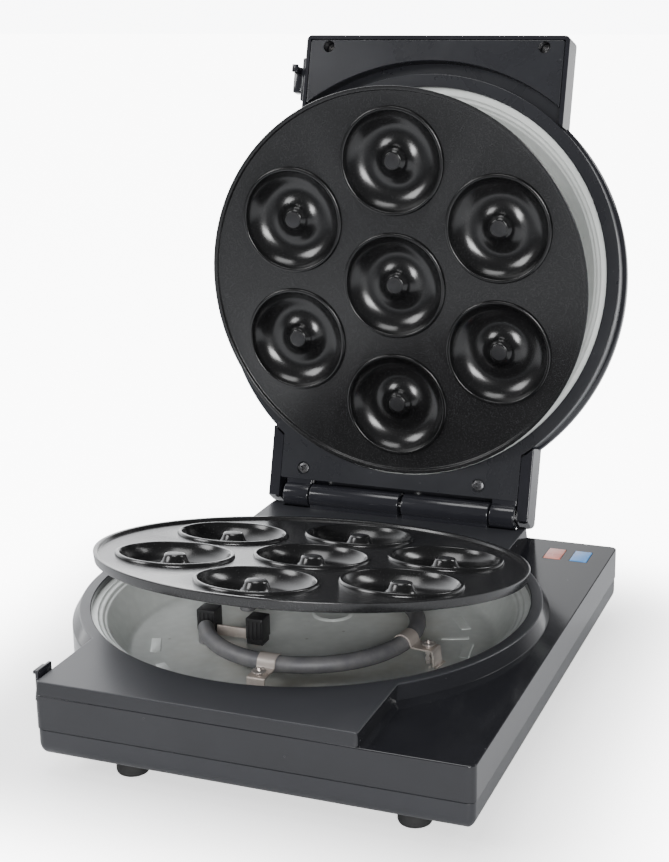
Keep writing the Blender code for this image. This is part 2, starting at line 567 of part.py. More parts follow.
def build_cover():
    top, rim = LID_TOP, FACE_Z + RIM_SETBACK
    crown = top + DOME_RISE
    radius = RING_FOOT
    dish = [(0, rim), (radius, rim), (radius, rim + 6 * mm), (radius - 1 * mm, top + 0.5 * mm),
            (radius - 6 * mm, top + 4 * mm), (radius - 19 * mm, crown - 0.5 * mm), (0, crown)]
    cover = place("lid_outer_cover", turned(dish), GLOSS_BLACK, LID_AXIS)
    half = LID_HALF_WIDTH
    whole = prism(deck_outline(LID_FRONT, half, LID_BACK), rim + 0.1 * mm, top)
    bmesh.ops.bevel(whole, geom=[e for e in whole.edges if min(v.co.z for v in e.verts) > top - 1e-6],
                    offset=EDGE_ROUND, segments=2, profile=0.5, affect="EDGES", material=-1)
    front_end = prism(behind(-LID_FRONT, half, radius - 0.6 * mm), FACE_Z, rim + 0.4 * mm)
    back_end = prism(behind(LID_BACK, half, radius - 0.6 * mm), FACE_Z, rim + 0.4 * mm)
    combine(cover, "UNION", helper("cover_block", whole, LID_AXIS),
            helper("cover_front_end", front_end, LID_AXIS), helper("cover_back_end", back_end, LID_AXIS))
    inner = radius - COVER_WALL + 0.2 * mm
    below = FACE_Z - 1 * mm
    bowl = [(0, below), (inner, below), (inner, rim + 6 * mm), (inner - 6 * mm, top + 1.5 * mm),
            (radius - 21 * mm, crown - COVER_WALL - 0.5 * mm), (0, crown - COVER_WALL)]
    combine(cover, "DIFFERENCE", helper("cover_bowl", turned(bowl), LID_AXIS))
    front = FRAME_HALF_FRONT + GAP
    front_room = slab((-front, -LID_FRONT + COVER_WALL, below), (front, -40 * mm, top - COVER_WALL))
    back = FRAME_HALF_BACK + GAP
    back_room = slab((-back, 40 * mm, below), (back, LID_BACK - COVER_WALL, top - COVER_WALL))
    knuckle_way = slab((-back, FRAME_BACK, below), (back, LID_BACK + 1 * mm, FACE_Z + 11 * mm))
    heel = [(LID_BACK - 5 * mm, FACE_Z - 1 * mm), (LID_BACK + 2 * mm, FACE_Z - 1 * mm),
            (LID_BACK + 2 * mm, FACE_Z + 11.3 * mm), (LID_BACK, FACE_Z + 11.3 * mm)]
    heel_cut = prism([(y, z) for y, z in heel], -80 * mm, 80 * mm)
    bmesh.ops.transform(heel_cut, matrix=Matrix(((0, 0, 1, 0), (1, 0, 0, 0), (0, 1, 0, 0), (0, 0, 0, 1))),
                        verts=heel_cut.verts)
    combine(cover, "DIFFERENCE", helper("front_room", front_room, LID_AXIS),
            helper("back_room", back_room, LID_AXIS), helper("knuckle_way", knuckle_way, LID_AXIS),
            helper("heel_cut", heel_cut, LID_AXIS))
    return cover


def lid_screw_places():
    """Deep front screws, then the two face screws beside the hinge, as (x, y, head height)."""
    return ((-58.6 * mm, -121.0 * mm, 6.0 * mm), (58.6 * mm, -121.0 * mm, 6.0 * mm),
            (-52.6 * mm, 103.2 * mm, 0.2 * mm), (44.0 * mm, 103.2 * mm, 0.2 * mm))


def build_inner_frame():
    rim = FACE_Z + RIM_SETBACK - GAP
    web = FACE_Z + RIM_SETBACK + 2.3 * mm
    flange = UPPER_FLANGE_Z - GAP
    wall = PAN_RADIUS + 0.9 * mm
    seat = RING_FOOT - COVER_WALL - 0.1 * mm
    ring = [(LID_BORE, FACE_Z), (LID_RING_RADIUS, FACE_Z), (LID_RING_RADIUS, rim), (seat, rim),
            (seat, web), (wall, web), (wall, flange), (LID_BORE, flange)]
    frame = place("lid_inner_frame", turned(ring), GLOSS_BLACK, LID_AXIS)
    front, half = LID_FRONT - COVER_WALL - GAP, FRAME_HALF_FRONT
    chamfer = 1.5 * mm
    grip = prism(behind(-front, half, GROOVE_RADIUS), FACE_Z, rim)
    back_half = FRAME_HALF_BACK
    floor = prism(behind(-front, half, wall + 0.5 * mm), rim - 0.6 * mm, web - 0.2 * mm)
    heel = prism(behind(FRAME_BACK, back_half, wall + 0.5 * mm), FACE_Z, web - 0.2 * mm)
    combine(frame, "UNION", helper("grip_floor", floor, LID_AXIS), helper("grip_face", grip, LID_AXIS),
            helper("heel_face", heel, LID_AXIS))
    slope = turned([(GROOVE_RADIUS - 3 * mm, FACE_Z - 1 * mm), (GROOVE_RADIUS + 1 * mm, FACE_Z - 1 * mm),
                    (GROOVE_RADIUS - 3 * mm, FACE_Z + 2 * chamfer)])
    combine(frame, "DIFFERENCE", helper("groove_chamfer", slope, LID_AXIS))
    for x, y, deep in lid_screw_places():
        bore = 3.1 * mm if deep > 1 * mm else 3.5 * mm
        pocket = rod(bore, (x, y, FACE_Z - 1 * mm), (x, y, FACE_Z + deep + 1.6 * mm), 16)
        hole = rod(1.8 * mm, (x, y, FACE_Z), (x, y, web + 1 * mm), 8)
        combine(frame, "DIFFERENCE", helper("screw_pocket", pocket, LID_AXIS),
                helper("screw_hole", hole, LID_AXIS))
    spans = knuckle_spans()
    for low, high in (spans[0], spans[3]):
        neck = slab((low, FRAME_BACK - 2 * mm, FACE_Z + 0.5 * mm), (high, HINGE_Y, FACE_Z + 5 * mm))
        barrel = rod(KNUCKLE_RADIUS, (low, HINGE_Y, HINGE_Z), (high, HINGE_Y, HINGE_Z), 24)
        combine(frame, "UNION", helper("knuckle_neck", neck, LID_AXIS),
                helper("knuckle_barrel", barrel, LID_AXIS))
    pin_hole = rod(PIN_RADIUS + GAP, (spans[0][0] - 3 * mm, HINGE_Y, HINGE_Z),
                   (spans[3][1] + 3 * mm, HINGE_Y, HINGE_Z))
    combine(frame, "DIFFERENCE", helper("pin_hole", pin_hole, LID_AXIS))
    return frame


def build_lid_screws():
    for i, (x, y, deep) in enumerate(lid_screw_places(), 1):
        head = FACE_Z + deep
        tip = FACE_Z + RIM_SETBACK + 1.8 * mm
        profile = [(0, head), (2.8 * mm, head), (2.8 * mm, head + 1.2 * mm), (1.5 * mm, head + 1.2 * mm),
                   (1.5 * mm, tip), (0, tip)]
        place(f"lid_screw_{i}", turned(profile, 12, (x, y)), SCREW_STEEL, LID_AXIS)


def build_latch():
    """A thumb slide on the lid's left wall; slid forward, its foot goes under the catch's ledge."""
    wall = -LID_HALF_WIDTH - GAP
    low, high = LATCH_Y - LATCH_LENGTH / 2, LATCH_Y + LATCH_LENGTH / 2
    guide = slab((wall - LATCH_PLATE, low, FACE_Z + 3 * mm), (wall, high, FACE_Z + 14 * mm), 0.8 * mm)
    place("latch_guide", guide, GLOSS_BLACK, LID_AXIS)
    out = wall - LATCH_PLATE - GAP
    start = LATCH_Y - LATCH_TAB / 2
    tab = slab((out - 5.2 * mm, start, FACE_Z + 5 * mm),
               (out, start + LATCH_TAB, FACE_Z + 12 * mm), 0.9 * mm)
    slide = place("latch_slide", tab, GLOSS_BLACK, LID_AXIS)
    catch_top = FACE_Z - 0.8 * mm
    under = catch_top - 1.6 * mm - GAP
    ledge_out = -DECK_HALF_WIDTH - GAP - 3.2 * mm
    arm_in = ledge_out - 2 * GAP
    finger = 4.4 * mm
    arm = slab((arm_in - 1.8 * mm, start + 0.4 * mm, under - 2 * mm),
               (arm_in, start + finger, FACE_Z + 8 * mm))
    toe = slab((arm_in - 0.9 * mm, start + 0.4 * mm, under - 2 * mm),
               (arm_in + 1.4 * mm, start + finger, under))
    combine(slide, "UNION", helper("latch_arm", arm, LID_AXIS), helper("latch_toe", toe, LID_AXIS))
    return slide


# ---------------------------------------------------------------- the whole appliance
build_upper_shell()
build_lower_shell()
build_base_fittings()
build_pan("lower_reflector_pan", FLANGE_TOP, LOWER_PAN_DEPTH, PAN_RADIUS, -1, APPLIANCE)
build_element("lower_heating_element", ELEMENT_Z, ELEMENT_Z - LOWER_FLOOR_Z - GAP, APPLIANCE, -1)
build_clamps("lower", LOWER_FLOOR_Z, ELEMENT_Z, APPLIANCE, 1)
build_thermostat()
build_lamps()
build_inner_parts()
build_catch()
build_plate("lower_baking_plate", LOWER_LIP_Z, LOWER_SKIRT, LOWER_POST_DROP, 1, LOWER_AXIS)

build_cover()
build_inner_frame()
build_pan("upper_reflector_pan", UPPER_FLANGE_Z, UPPER_PAN_DEPTH, PAN_RADIUS, 1, LID_AXIS)
build_element("upper_heating_element", UPPER_ELEMENT_Z, UPPER_FLOOR_Z - UPPER_ELEMENT_Z - GAP, LID_AXIS, 1)
build_clamps("upper", UPPER_FLOOR_Z, UPPER_ELEMENT_Z, LID_AXIS, -1)
build_lid_screws()
build_latch()
build_plate("upper_baking_plate", UPPER_LIP_Z, UPPER_SKIRT, UPPER_POST_DROP, -1, UPPER_AXIS)
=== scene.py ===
# %% [markdown]
# # A seven-ring donut maker, standing open
#
# This lesson dresses a finished mechanical model. The frame holds every working piece of the
# donut maker at its true size: a base with a control strip, a lid on a long hinge, and two
# round baking plates tipped out of their seats. The frame is faceted, so most pieces that
# the eye meets are made again here with finer curves and softened edges.

# %% Load the frame
import json
import math
import bmesh
import bpy
from mathutils import Matrix, Vector


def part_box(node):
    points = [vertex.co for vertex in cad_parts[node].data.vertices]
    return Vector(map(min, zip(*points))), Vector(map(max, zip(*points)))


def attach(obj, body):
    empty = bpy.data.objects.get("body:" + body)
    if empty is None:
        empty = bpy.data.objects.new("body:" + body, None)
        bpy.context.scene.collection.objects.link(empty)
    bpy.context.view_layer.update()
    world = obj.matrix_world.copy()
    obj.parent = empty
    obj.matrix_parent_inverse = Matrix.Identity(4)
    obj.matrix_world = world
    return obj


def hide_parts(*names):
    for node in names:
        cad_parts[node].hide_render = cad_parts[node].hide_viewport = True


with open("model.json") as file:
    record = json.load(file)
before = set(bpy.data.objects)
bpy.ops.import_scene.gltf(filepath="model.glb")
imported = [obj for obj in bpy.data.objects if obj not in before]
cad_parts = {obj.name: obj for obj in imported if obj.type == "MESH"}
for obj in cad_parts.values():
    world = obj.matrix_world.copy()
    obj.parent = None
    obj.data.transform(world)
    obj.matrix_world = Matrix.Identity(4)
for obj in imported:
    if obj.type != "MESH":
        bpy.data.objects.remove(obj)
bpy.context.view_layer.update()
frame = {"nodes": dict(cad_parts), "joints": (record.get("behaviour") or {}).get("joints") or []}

mm = 0.001


def added(name, data):
    """A new object in the scene."""
    thing = bpy.data.objects.new(name, data)
    bpy.context.scene.collection.objects.link(thing)
    return thing


def in_mm(*points):
    """Points given in millimetres, as metres."""
    return [(x * mm, y * mm) for x, y in points]


# %% [markdown]
# ## The camera
#
# The view comes first, because it decides how much detail each piece needs. It is a long
# lens, a little above the worktop and to the right of the front, so upright edges stay
# nearly upright. The three turns are given as yaw, pitch and roll, and a matrix is built
# from them, because that is easier to read than Euler angles.

# %% Camera
yaw, pitch, roll = math.radians(21.57), math.radians(-16.30), math.radians(-0.98)
forward = Vector((-math.sin(yaw) * math.cos(pitch), math.cos(yaw) * math.cos(pitch), math.sin(pitch)))
level = Vector((math.cos(yaw), math.sin(yaw), 0))
above = level.cross(forward)
right = math.cos(roll) * level + math.sin(roll) * above
upward = math.cos(roll) * above - math.sin(roll) * level
eye = Vector((268.4, -686.1, 322.4)) * mm
camera = added("camera", bpy.data.cameras.new("camera"))
camera.matrix_world = Matrix.Translation(eye) @ Matrix((right, upward, -forward)).transposed().to_4x4()
camera.data.sensor_width = 36.0
camera.data.lens = 68.56
camera.data.shift_x = -0.0060
camera.data.shift_y = 0.0048
camera.data.clip_start = 0.01
bpy.context.scene.camera = camera
print("camera at", [round(v, 3) for v in eye], "lens", camera.data.lens)

# %% [markdown]
# ## Where things are
#
# Every round piece shares one upright axis when the appliance is closed: the axis of the
# baking plates. Pieces are therefore drawn about that axis, as if the lid were shut and both
# plates seated. One matrix per body then carries a piece to where the frame holds it. The
# matrices are read from the frame's own joints, so the two can't disagree.

# %% Places of the bodies
pan_low, pan_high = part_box("lower_reflector_pan")
plate_axis = Vector(((pan_low.x + pan_high.x) / 2, (pan_low.y + pan_high.y) / 2, 0))
joints = {joint["name"]: joint for joint in frame["joints"]}


def turned_about(point, degrees):
    """A turn about the X direction through a point."""
    point = Vector(point)
    return (Matrix.Translation(point) @ Matrix.Rotation(math.radians(degrees), 4, "X")
            @ Matrix.Translation(-point))


shut = Matrix.Translation(plate_axis)
opened = turned_about(joints["lid_hinge"]["pos_m"], -joints["lid_hinge"]["range_deg"][1]) @ shut
lower_tip = turned_about(joints["lower_plate_tilt"]["pos_m"], -joints["lower_plate_tilt"]["range_deg"][1])
upper_tip = turned_about(joints["upper_plate_tilt"]["pos_m"], -joints["upper_plate_tilt"]["range_deg"][0])
PLACE = {"base": shut, "lid": opened, "latch": opened,
         "lower_plate": lower_tip @ shut, "upper_plate": upper_tip @ opened}


def node_centre(node, body="base"):
    """The middle of a CAD node, seen from the plate axis with everything shut."""
    low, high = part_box(node)
    return PLACE[body].inverted() @ ((low + high) / 2)


def drawn_box(node):
    """The corners of a CAD node of the base, seen from the plate axis."""
    low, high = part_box(node)
    return low - plate_axis, high - plate_axis


print("plate axis", [round(v, 5) for v in plate_axis])

# %% Heights shared by many pieces
hinge_y = joints["lid_hinge"]["pos_m"][1] - plate_axis.y
hinge_z = joints["lid_hinge"]["pos_m"][2]
deck_z = hinge_z - 5.3 * mm          # raised deck of the base
strip_z = deck_z - 5.7 * mm          # control strip
parting_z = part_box("base_lower_shell")[1].z + 0.15 * mm
foot_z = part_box("base_lower_shell")[0].z
face_z = hinge_z - 2.3 * mm          # the lid's face when shut
lid_top = face_z + 18 * mm
lower_lip = deck_z + 1.1 * mm
upper_lip = face_z - 0.3 * mm
gap = 0.3 * mm
print("strip", round(strip_z, 4), "deck", round(deck_z, 4), "lid face", round(face_z, 4))

# %% [markdown]
# ## Tools for shaping
#
# Almost everything here is either turned on a lathe, cut from a thick sheet by an outline,
# or a softened block. Each tool below starts from a few vertices or one of Blender's own
# shapes, and lets an operator such as spin, extrude or bevel do the work.

# %% Chains of points
def softened(chain, cut, steps=3):
    """The same chain with each inner corner replaced by a short curve."""
    out = [Vector(chain[0])]
    for before, corner, after in zip(chain, chain[1:], chain[2:]):
        before, corner, after = Vector(before), Vector(corner), Vector(after)
        start = corner + (before - corner).normalized() * min(cut, (before - corner).length * 0.45)
        end = corner + (after - corner).normalized() * min(cut, (after - corner).length * 0.45)
        for i in range(steps + 1):
            t = i / steps
            out.append(start * (1 - t) ** 2 + corner * 2 * t * (1 - t) + end * t ** 2)
    out.append(Vector(chain[-1]))
    return out


def flowing(chain, steps=5):
    """A smooth curve through every point of a chain."""
    points = [Vector(p) for p in chain]
    points = [2 * points[0] - points[1]] + points + [2 * points[-1] - points[-2]]
    out = []
    for a, b, c, d in zip(points, points[1:], points[2:], points[3:]):
        for i in range(steps):
            t = i / steps
            out.append(0.5 * (2 * b + (c - a) * t + (2 * a - 5 * b + 4 * c - d) * t * t
                              + (3 * b - a - 3 * c + d) * t ** 3))
    return out + [points[-2]]


def arc(radius, start, end, steps, centre=(0.0, 0.0)):
    """Points of a round stretch of outline, angles in degrees."""
    angles = [math.radians(start + (end - start) * i / steps) for i in range(steps + 1)]
    return [(centre[0] + radius * math.cos(a), centre[1] + radius * math.sin(a)) for a in angles]


print("a softened right angle has", len(softened([(0, 0), (1, 0), (1, 1)], 0.2)), "points")

# %% Lathe, sheet cutter, block and rod
def turned(chain, steps=192, centre=(0.0, 0.0), ring=False):
    """Spin a chain of (radius, height) points; ring joins its two ends first."""
    bm = bmesh.new()
    verts = [bm.verts.new((r, 0, z)) for r, z in chain]
    pairs = list(zip(verts, verts[1:])) + ([(verts[-1], verts[0])] if ring else [])
    edges = [bm.edges.new(pair) for pair in pairs if max(v.co.x for v in pair) > 1e-9]
    bmesh.ops.spin(bm, geom=verts + edges, cent=(0, 0, 0), axis=(0, 0, 1), dvec=(0, 0, 0),
                   angle=math.tau, steps=steps, use_merge=True, use_duplicate=False)
    bmesh.ops.remove_doubles(bm, verts=bm.verts, dist=1e-7)
    bmesh.ops.translate(bm, verts=bm.verts, vec=(*centre, 0))
    bmesh.ops.recalc_face_normals(bm, faces=bm.faces)
    return bm


def stacked(levels):
    """Extrude an outline up through (height, outline) levels, each with as many points."""
    bm = bmesh.new()
    low, outline = levels[0]
    verts = [bm.verts.new((x, y, low)) for x, y in outline]
    face = bm.faces.new(verts)
    for step, (height, outline) in enumerate(levels[1:]):
        raised = bmesh.ops.extrude_face_region(bm, geom=[face])["geom"]
        if step:
            bmesh.ops.delete(bm, geom=[face], context="FACES_ONLY")
        fresh = {v for v in raised if isinstance(v, bmesh.types.BMVert)}
        face = next(f for f in raised if isinstance(f, bmesh.types.BMFace))
        climbed = [next(e.other_vert(v) for e in v.link_edges if e.other_vert(v) in fresh) for v in verts]
        for vert, (x, y) in zip(climbed, outline):
            vert.co = (x, y, height)
        verts = climbed
    bmesh.ops.recalc_face_normals(bm, faces=bm.faces)
    return bm


def sheet(outline, low, high, top=None):
    """A thick sheet cut to an outline; top is a second outline for leaning walls."""
    return stacked([(low, outline), (high, top or outline)])


def moulded(outline_of, low, high, top_round=0.0, low_round=0.0, lean=0.0, steps=5):
    """A thick sheet whose rims are rounded; outline_of gives the outline at an inset."""
    quarter = [math.pi / 2 * i / steps for i in range(steps + 1)]
    levels = ([(low + low_round * (1 - math.cos(a)), low_round * (1 - math.sin(a))) for a in quarter]
              if low_round else [(low, 0.0)])
    levels += ([(high - top_round * (1 - math.sin(a)), lean + top_round * (1 - math.cos(a))) for a in quarter]
               if top_round else [(high, lean)])
    return stacked([(height, outline_of(inset)) for height, inset in levels])


def block(low, high, soft=0.0, segments=3):
    """A box between two corners with softened edges."""
    bm = bmesh.new()
    bmesh.ops.create_cube(bm, size=1.0)
    low, high = Vector(low), Vector(high)
    bmesh.ops.scale(bm, verts=bm.verts, vec=high - low)
    bmesh.ops.translate(bm, verts=bm.verts, vec=(low + high) / 2)
    if soft:
        bmesh.ops.bevel(bm, geom=bm.edges[:], offset=soft, segments=segments, profile=0.5,
                        affect="EDGES", material=-1)
    return bm


def rod(radius, start, end, steps=48):
    """A round bar between two points."""
    start, end = Vector(start), Vector(end)
    bm = bmesh.new()
    bmesh.ops.create_cone(bm, cap_ends=True, segments=steps, radius1=radius, radius2=radius,
                          depth=(end - start).length)
    turn = (end - start).to_track_quat("Z", "Y").to_matrix().to_4x4()
    bmesh.ops.transform(bm, matrix=Matrix.Translation((start + end) / 2) @ turn, verts=bm.verts)
    return bm


# %% [markdown]
# ### Joining and cutting
#
# Housings are moulded as one wall with openings, so they are built like a mould: shapes are
# united, then others are cut away. Each cut is applied at once and its tool thrown away, so
# the finished piece is a plain mesh and the file holds no hidden helpers.

# %% Boolean work and finishing
def blank(name, bm):
    """An object made of a bmesh, still drawn about the plate axis."""
    mesh = bpy.data.meshes.new(name)
    bm.to_mesh(mesh)
    bm.free()
    return added(name, mesh)


def carve(piece, operation, *shapes):
    """Unite a piece with shapes or cut them out of it, and throw the shapes away."""
    tools = [blank("tool", bm) for bm in shapes]
    for tool in tools:
        boolean = piece.modifiers.new("cut", "BOOLEAN")
        boolean.operation = operation
        boolean.object = tool
    bpy.context.view_layer.update()
    result = bpy.data.meshes.new_from_object(piece.evaluated_get(bpy.context.evaluated_depsgraph_get()))
    piece.modifiers.clear()
    old = piece.data
    piece.data = result
    bpy.data.meshes.remove(old)
    for tool in tools:
        mesh = tool.data
        bpy.data.objects.remove(tool)
        bpy.data.meshes.remove(mesh)
    return piece


def add_shapes(piece, *shapes):
    """Lay more closed shapes into a piece's mesh without cutting anything."""
    bm = bmesh.new()
    bm.from_mesh(piece.data)
    for shape in shapes:
        extra = bpy.data.meshes.new("extra")
        shape.to_mesh(extra)
        shape.free()
        bm.from_mesh(extra)
        bpy.data.meshes.remove(extra)
    bm.to_mesh(piece.data)
    bm.free()
    return piece


made = []


def settle(piece, body, material, replaces=(), flats=False, sharp=30):
    """Carry a piece to its body, shade it and hand it to the frame; flats keeps big faces flat."""
    piece.data.transform(PLACE[body])
    piece.data.materials.clear()
    piece.data.materials.append(material)
    piece.data.shade_smooth()
    piece.data.set_sharp_from_angle(angle=math.radians(sharp))
    if flats:
        weighted = piece.modifiers.new("flat_faces_stay_flat", "WEIGHTED_NORMAL")
        weighted.keep_sharp = True
        weighted.weight = 100
    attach(piece, body)
    if replaces:
        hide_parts(*([replaces] if isinstance(replaces, str) else replaces))
    made.append(piece.name)
    return piece


print("tools ready")

# %% [markdown]
# ## Shared surface effects
#
# Real finishes are never one colour. A moulding has a fine grain, handling leaves soft
# smudges, dust settles on gloss, and rolled metal keeps faint lines. Several materials need
# the same effect at different strengths, so each is a node group with named inputs. The
# groups only put out masks and heights; each material decides what to do with them.

# %% Small helpers for node trees
def new_group(name, inputs, outputs):
    """An empty node group with number inputs and outputs, and its in and out nodes."""
    tree = bpy.data.node_groups.new(name, "ShaderNodeTree")
    tree.interface.new_socket("Vector", in_out="INPUT", socket_type="NodeSocketVector")
    for label, value in inputs.items():
        socket = tree.interface.new_socket(label, in_out="INPUT", socket_type="NodeSocketFloat")
        socket.default_value = value
    for label in outputs:
        tree.interface.new_socket(label, in_out="OUTPUT", socket_type="NodeSocketFloat")
    return tree, tree.nodes.new("NodeGroupInput"), tree.nodes.new("NodeGroupOutput")


def add(tree, kind, settings=None, **inputs):
    """A node with its settings and inputs; an input may be a value or another node's output."""
    node = tree.nodes.new(kind)
    for label, value in (settings or {}).items():
        setattr(node, label, value)
    for label, value in inputs.items():
        key = int(label[1:]) if label[0] == "i" and label[1:].isdigit() else label.replace("_", " ")
        socket = node.inputs[key]
        if isinstance(value, bpy.types.NodeSocket):
            tree.links.new(value, socket)
        else:
            socket.default_value = value
    return node


def math_node(tree, operation, a, b=0.0, clamp=False):
    """One Math node and its output."""
    node = add(tree, "ShaderNodeMath", {"operation": operation, "use_clamp": clamp}, i0=a, i1=b)
    return node.outputs[0]


def times(tree, a, b):
    """Two values multiplied."""
    return math_node(tree, "MULTIPLY", a, b)


def plus(tree, a, b, clamp=False):
    """Two values added."""
    return math_node(tree, "ADD", a, b, clamp)


def ranged(tree, value, low, high, to_low=0.0, to_high=1.0):
    """Map a value from one range to another, held inside the new one."""
    node = add(tree, "ShaderNodeMapRange", {"clamp": True}, Value=value, i1=low, i2=high, i3=to_low, i4=to_high)
    return node.outputs[0]


# %% Fine moulded grain
grain, grain_in, grain_out = new_group("moulded_grain", {"Fineness": 900.0, "Contrast": 1.0}, ["Height"])
pits = add(grain, "ShaderNodeTexNoise", Vector=grain_in.outputs["Vector"],
           Scale=grain_in.outputs["Fineness"], Detail=3.0, Roughness=0.6)
cells = add(grain, "ShaderNodeTexVoronoi", {"feature": "SMOOTH_F1"}, Vector=grain_in.outputs["Vector"],
            Scale=times(grain, grain_in.outputs["Fineness"], 0.6))
both = times(grain, pits.outputs["Fac"], cells.outputs["Distance"])
centred = math_node(grain, "SUBTRACT", both, 0.2)
grain.links.new(times(grain, centred, grain_in.outputs["Contrast"]), grain_out.inputs["Height"])
print("grain nodes", len(grain.nodes))

# %% Soft smudges from handling
smudge, smudge_in, smudge_out = new_group("handling_smudges", {"Size": 22.0, "Amount": 0.5}, ["Mask"])
cloud = add(smudge, "ShaderNodeTexNoise", Vector=smudge_in.outputs["Vector"],
            Scale=smudge_in.outputs["Size"], Detail=5.0, Roughness=0.62, Distortion=0.6)
patch = ranged(smudge, cloud.outputs["Fac"], 0.42, 0.72)
smudge.links.new(times(smudge, patch, smudge_in.outputs["Amount"]), smudge_out.inputs["Mask"])
print("smudge nodes", len(smudge.nodes))

# %% Settled dust
dust, dust_in, dust_out = new_group("settled_dust", {"Spacing": 260.0, "Share": 0.12}, ["Mask"])
flecks = add(dust, "ShaderNodeTexVoronoi", {"feature": "F1"}, Vector=dust_in.outputs["Vector"],
             Scale=dust_in.outputs["Spacing"])
near = ranged(dust, flecks.outputs["Distance"], 0.16, 0.06)
picked = add(dust, "ShaderNodeSeparateColor", Color=flecks.outputs["Color"])
chosen = math_node(dust, "LESS_THAN", picked.outputs[0], dust_in.outputs["Share"])
dust.links.new(times(dust, near, chosen), dust_out.inputs["Mask"])
print("dust nodes", len(dust.nodes))

# %% Fine scratches
scratch, scratch_in, scratch_out = new_group("fine_scratches", {"Fineness": 500.0, "Amount": 0.4}, ["Mask"])
layers = []
for turn, stretch in ((0.4, 0.03), (-0.9, 0.045)):
    turned_map = add(scratch, "ShaderNodeMapping", Vector=scratch_in.outputs["Vector"],
                     Rotation=(0.3, 0.2, turn), Scale=(1.0, stretch, 0.6))
    lines = add(scratch, "ShaderNodeTexNoise", Vector=turned_map.outputs[0],
                Scale=scratch_in.outputs["Fineness"], Detail=2.0, Roughness=0.5)
    layers.append(ranged(scratch, lines.outputs["Fac"], 0.66, 0.76))
marks = math_node(scratch, "MAXIMUM", layers[0], layers[1])
scratch.links.new(times(scratch, marks, scratch_in.outputs["Amount"]), scratch_out.inputs["Mask"])
print("scratch nodes", len(scratch.nodes))

# %% Coating flecks
fleck, fleck_in, fleck_out = new_group("coating_flecks", {"Fineness": 1500.0, "Share": 0.2}, ["Mask", "Height"])
seeds = add(fleck, "ShaderNodeTexVoronoi", {"feature": "F1"}, Vector=fleck_in.outputs["Vector"],
            Scale=fleck_in.outputs["Fineness"])
seed_value = add(fleck, "ShaderNodeSeparateColor", Color=seeds.outputs["Color"])
bright = math_node(fleck, "LESS_THAN", seed_value.outputs[0], fleck_in.outputs["Share"])
fleck.links.new(times(fleck, bright, seed_value.outputs[1]), fleck_out.inputs["Mask"])
orange_peel = add(fleck, "ShaderNodeTexNoise", Vector=fleck_in.outputs["Vector"],
                  Scale=times(fleck, fleck_in.outputs["Fineness"], 0.45), Detail=2.0)
fleck.links.new(orange_peel.outputs["Fac"], fleck_out.inputs["Height"])
print("fleck nodes", len(fleck.nodes))


# %% [markdown]
# ## Materials
#
# Each material starts the same way: a Principled shader that reads Object coordinates. The
# finish is then built up from the shared effects. Values that are the same all over a
# surface, such as coat or specular level, are set on the shader's own sockets.

# %% Start of a material
def surface(name, slot, **values):
    """A material with its shader's plain values set; gives it, its tree, shader and coordinates."""
    material = bpy.data.materials.new(name)
    material.use_nodes = True
    tree = material.node_tree
    shader = tree.nodes["Principled BSDF"]
    for label, value in values.items():
        shader.inputs[label.replace("_", " ")].default_value = value
    where = tree.nodes.new("ShaderNodeTexCoord").outputs["Object"]
    material["slot"] = slot
    return material, tree, shader, where


def effect(tree, group, where, **values):
    """Place one of the shared effects in a material with its own values."""
    node = tree.nodes.new("ShaderNodeGroup")
    node.node_tree = group
    tree.links.new(where, node.inputs["Vector"])
    for label, value in values.items():
        node.inputs[label].default_value = value
    return node


def blend_colour(tree, amount, first, second):
    """Mix two colours by a mask."""
    node = tree.nodes.new("ShaderNodeMix")
    node.data_type = "RGBA"
    for key, value in (("Factor", amount), ("A", first), ("B", second)):
        socket = next(s for s in node.inputs if s.name == key and (key == "Factor" or s.type == "RGBA"))
        if isinstance(value, bpy.types.NodeSocket):
            tree.links.new(value, socket)
        else:
            socket.default_value = value
    return next(s for s in node.outputs if s.type == "RGBA")


def bump(tree, shader, height, strength, distance):
    """Send a height to the shader's normal."""
    node = add(tree, "ShaderNodeBump", Strength=strength, Distance=distance, Height=height)
    tree.links.new(node.outputs[0], shader.inputs["Normal"])


print("effects:", [g.name for g in bpy.data.node_groups])

# %% [markdown]
# ### Black mouldings
#
# The housing is one black plastic in three finishes. The base's top and the lid's cover come
# from polished moulds and mirror the room, with a slow waviness that thin walls always have.
# The lid's inner frame and the lower shell are satin, with a fine sparked grain.

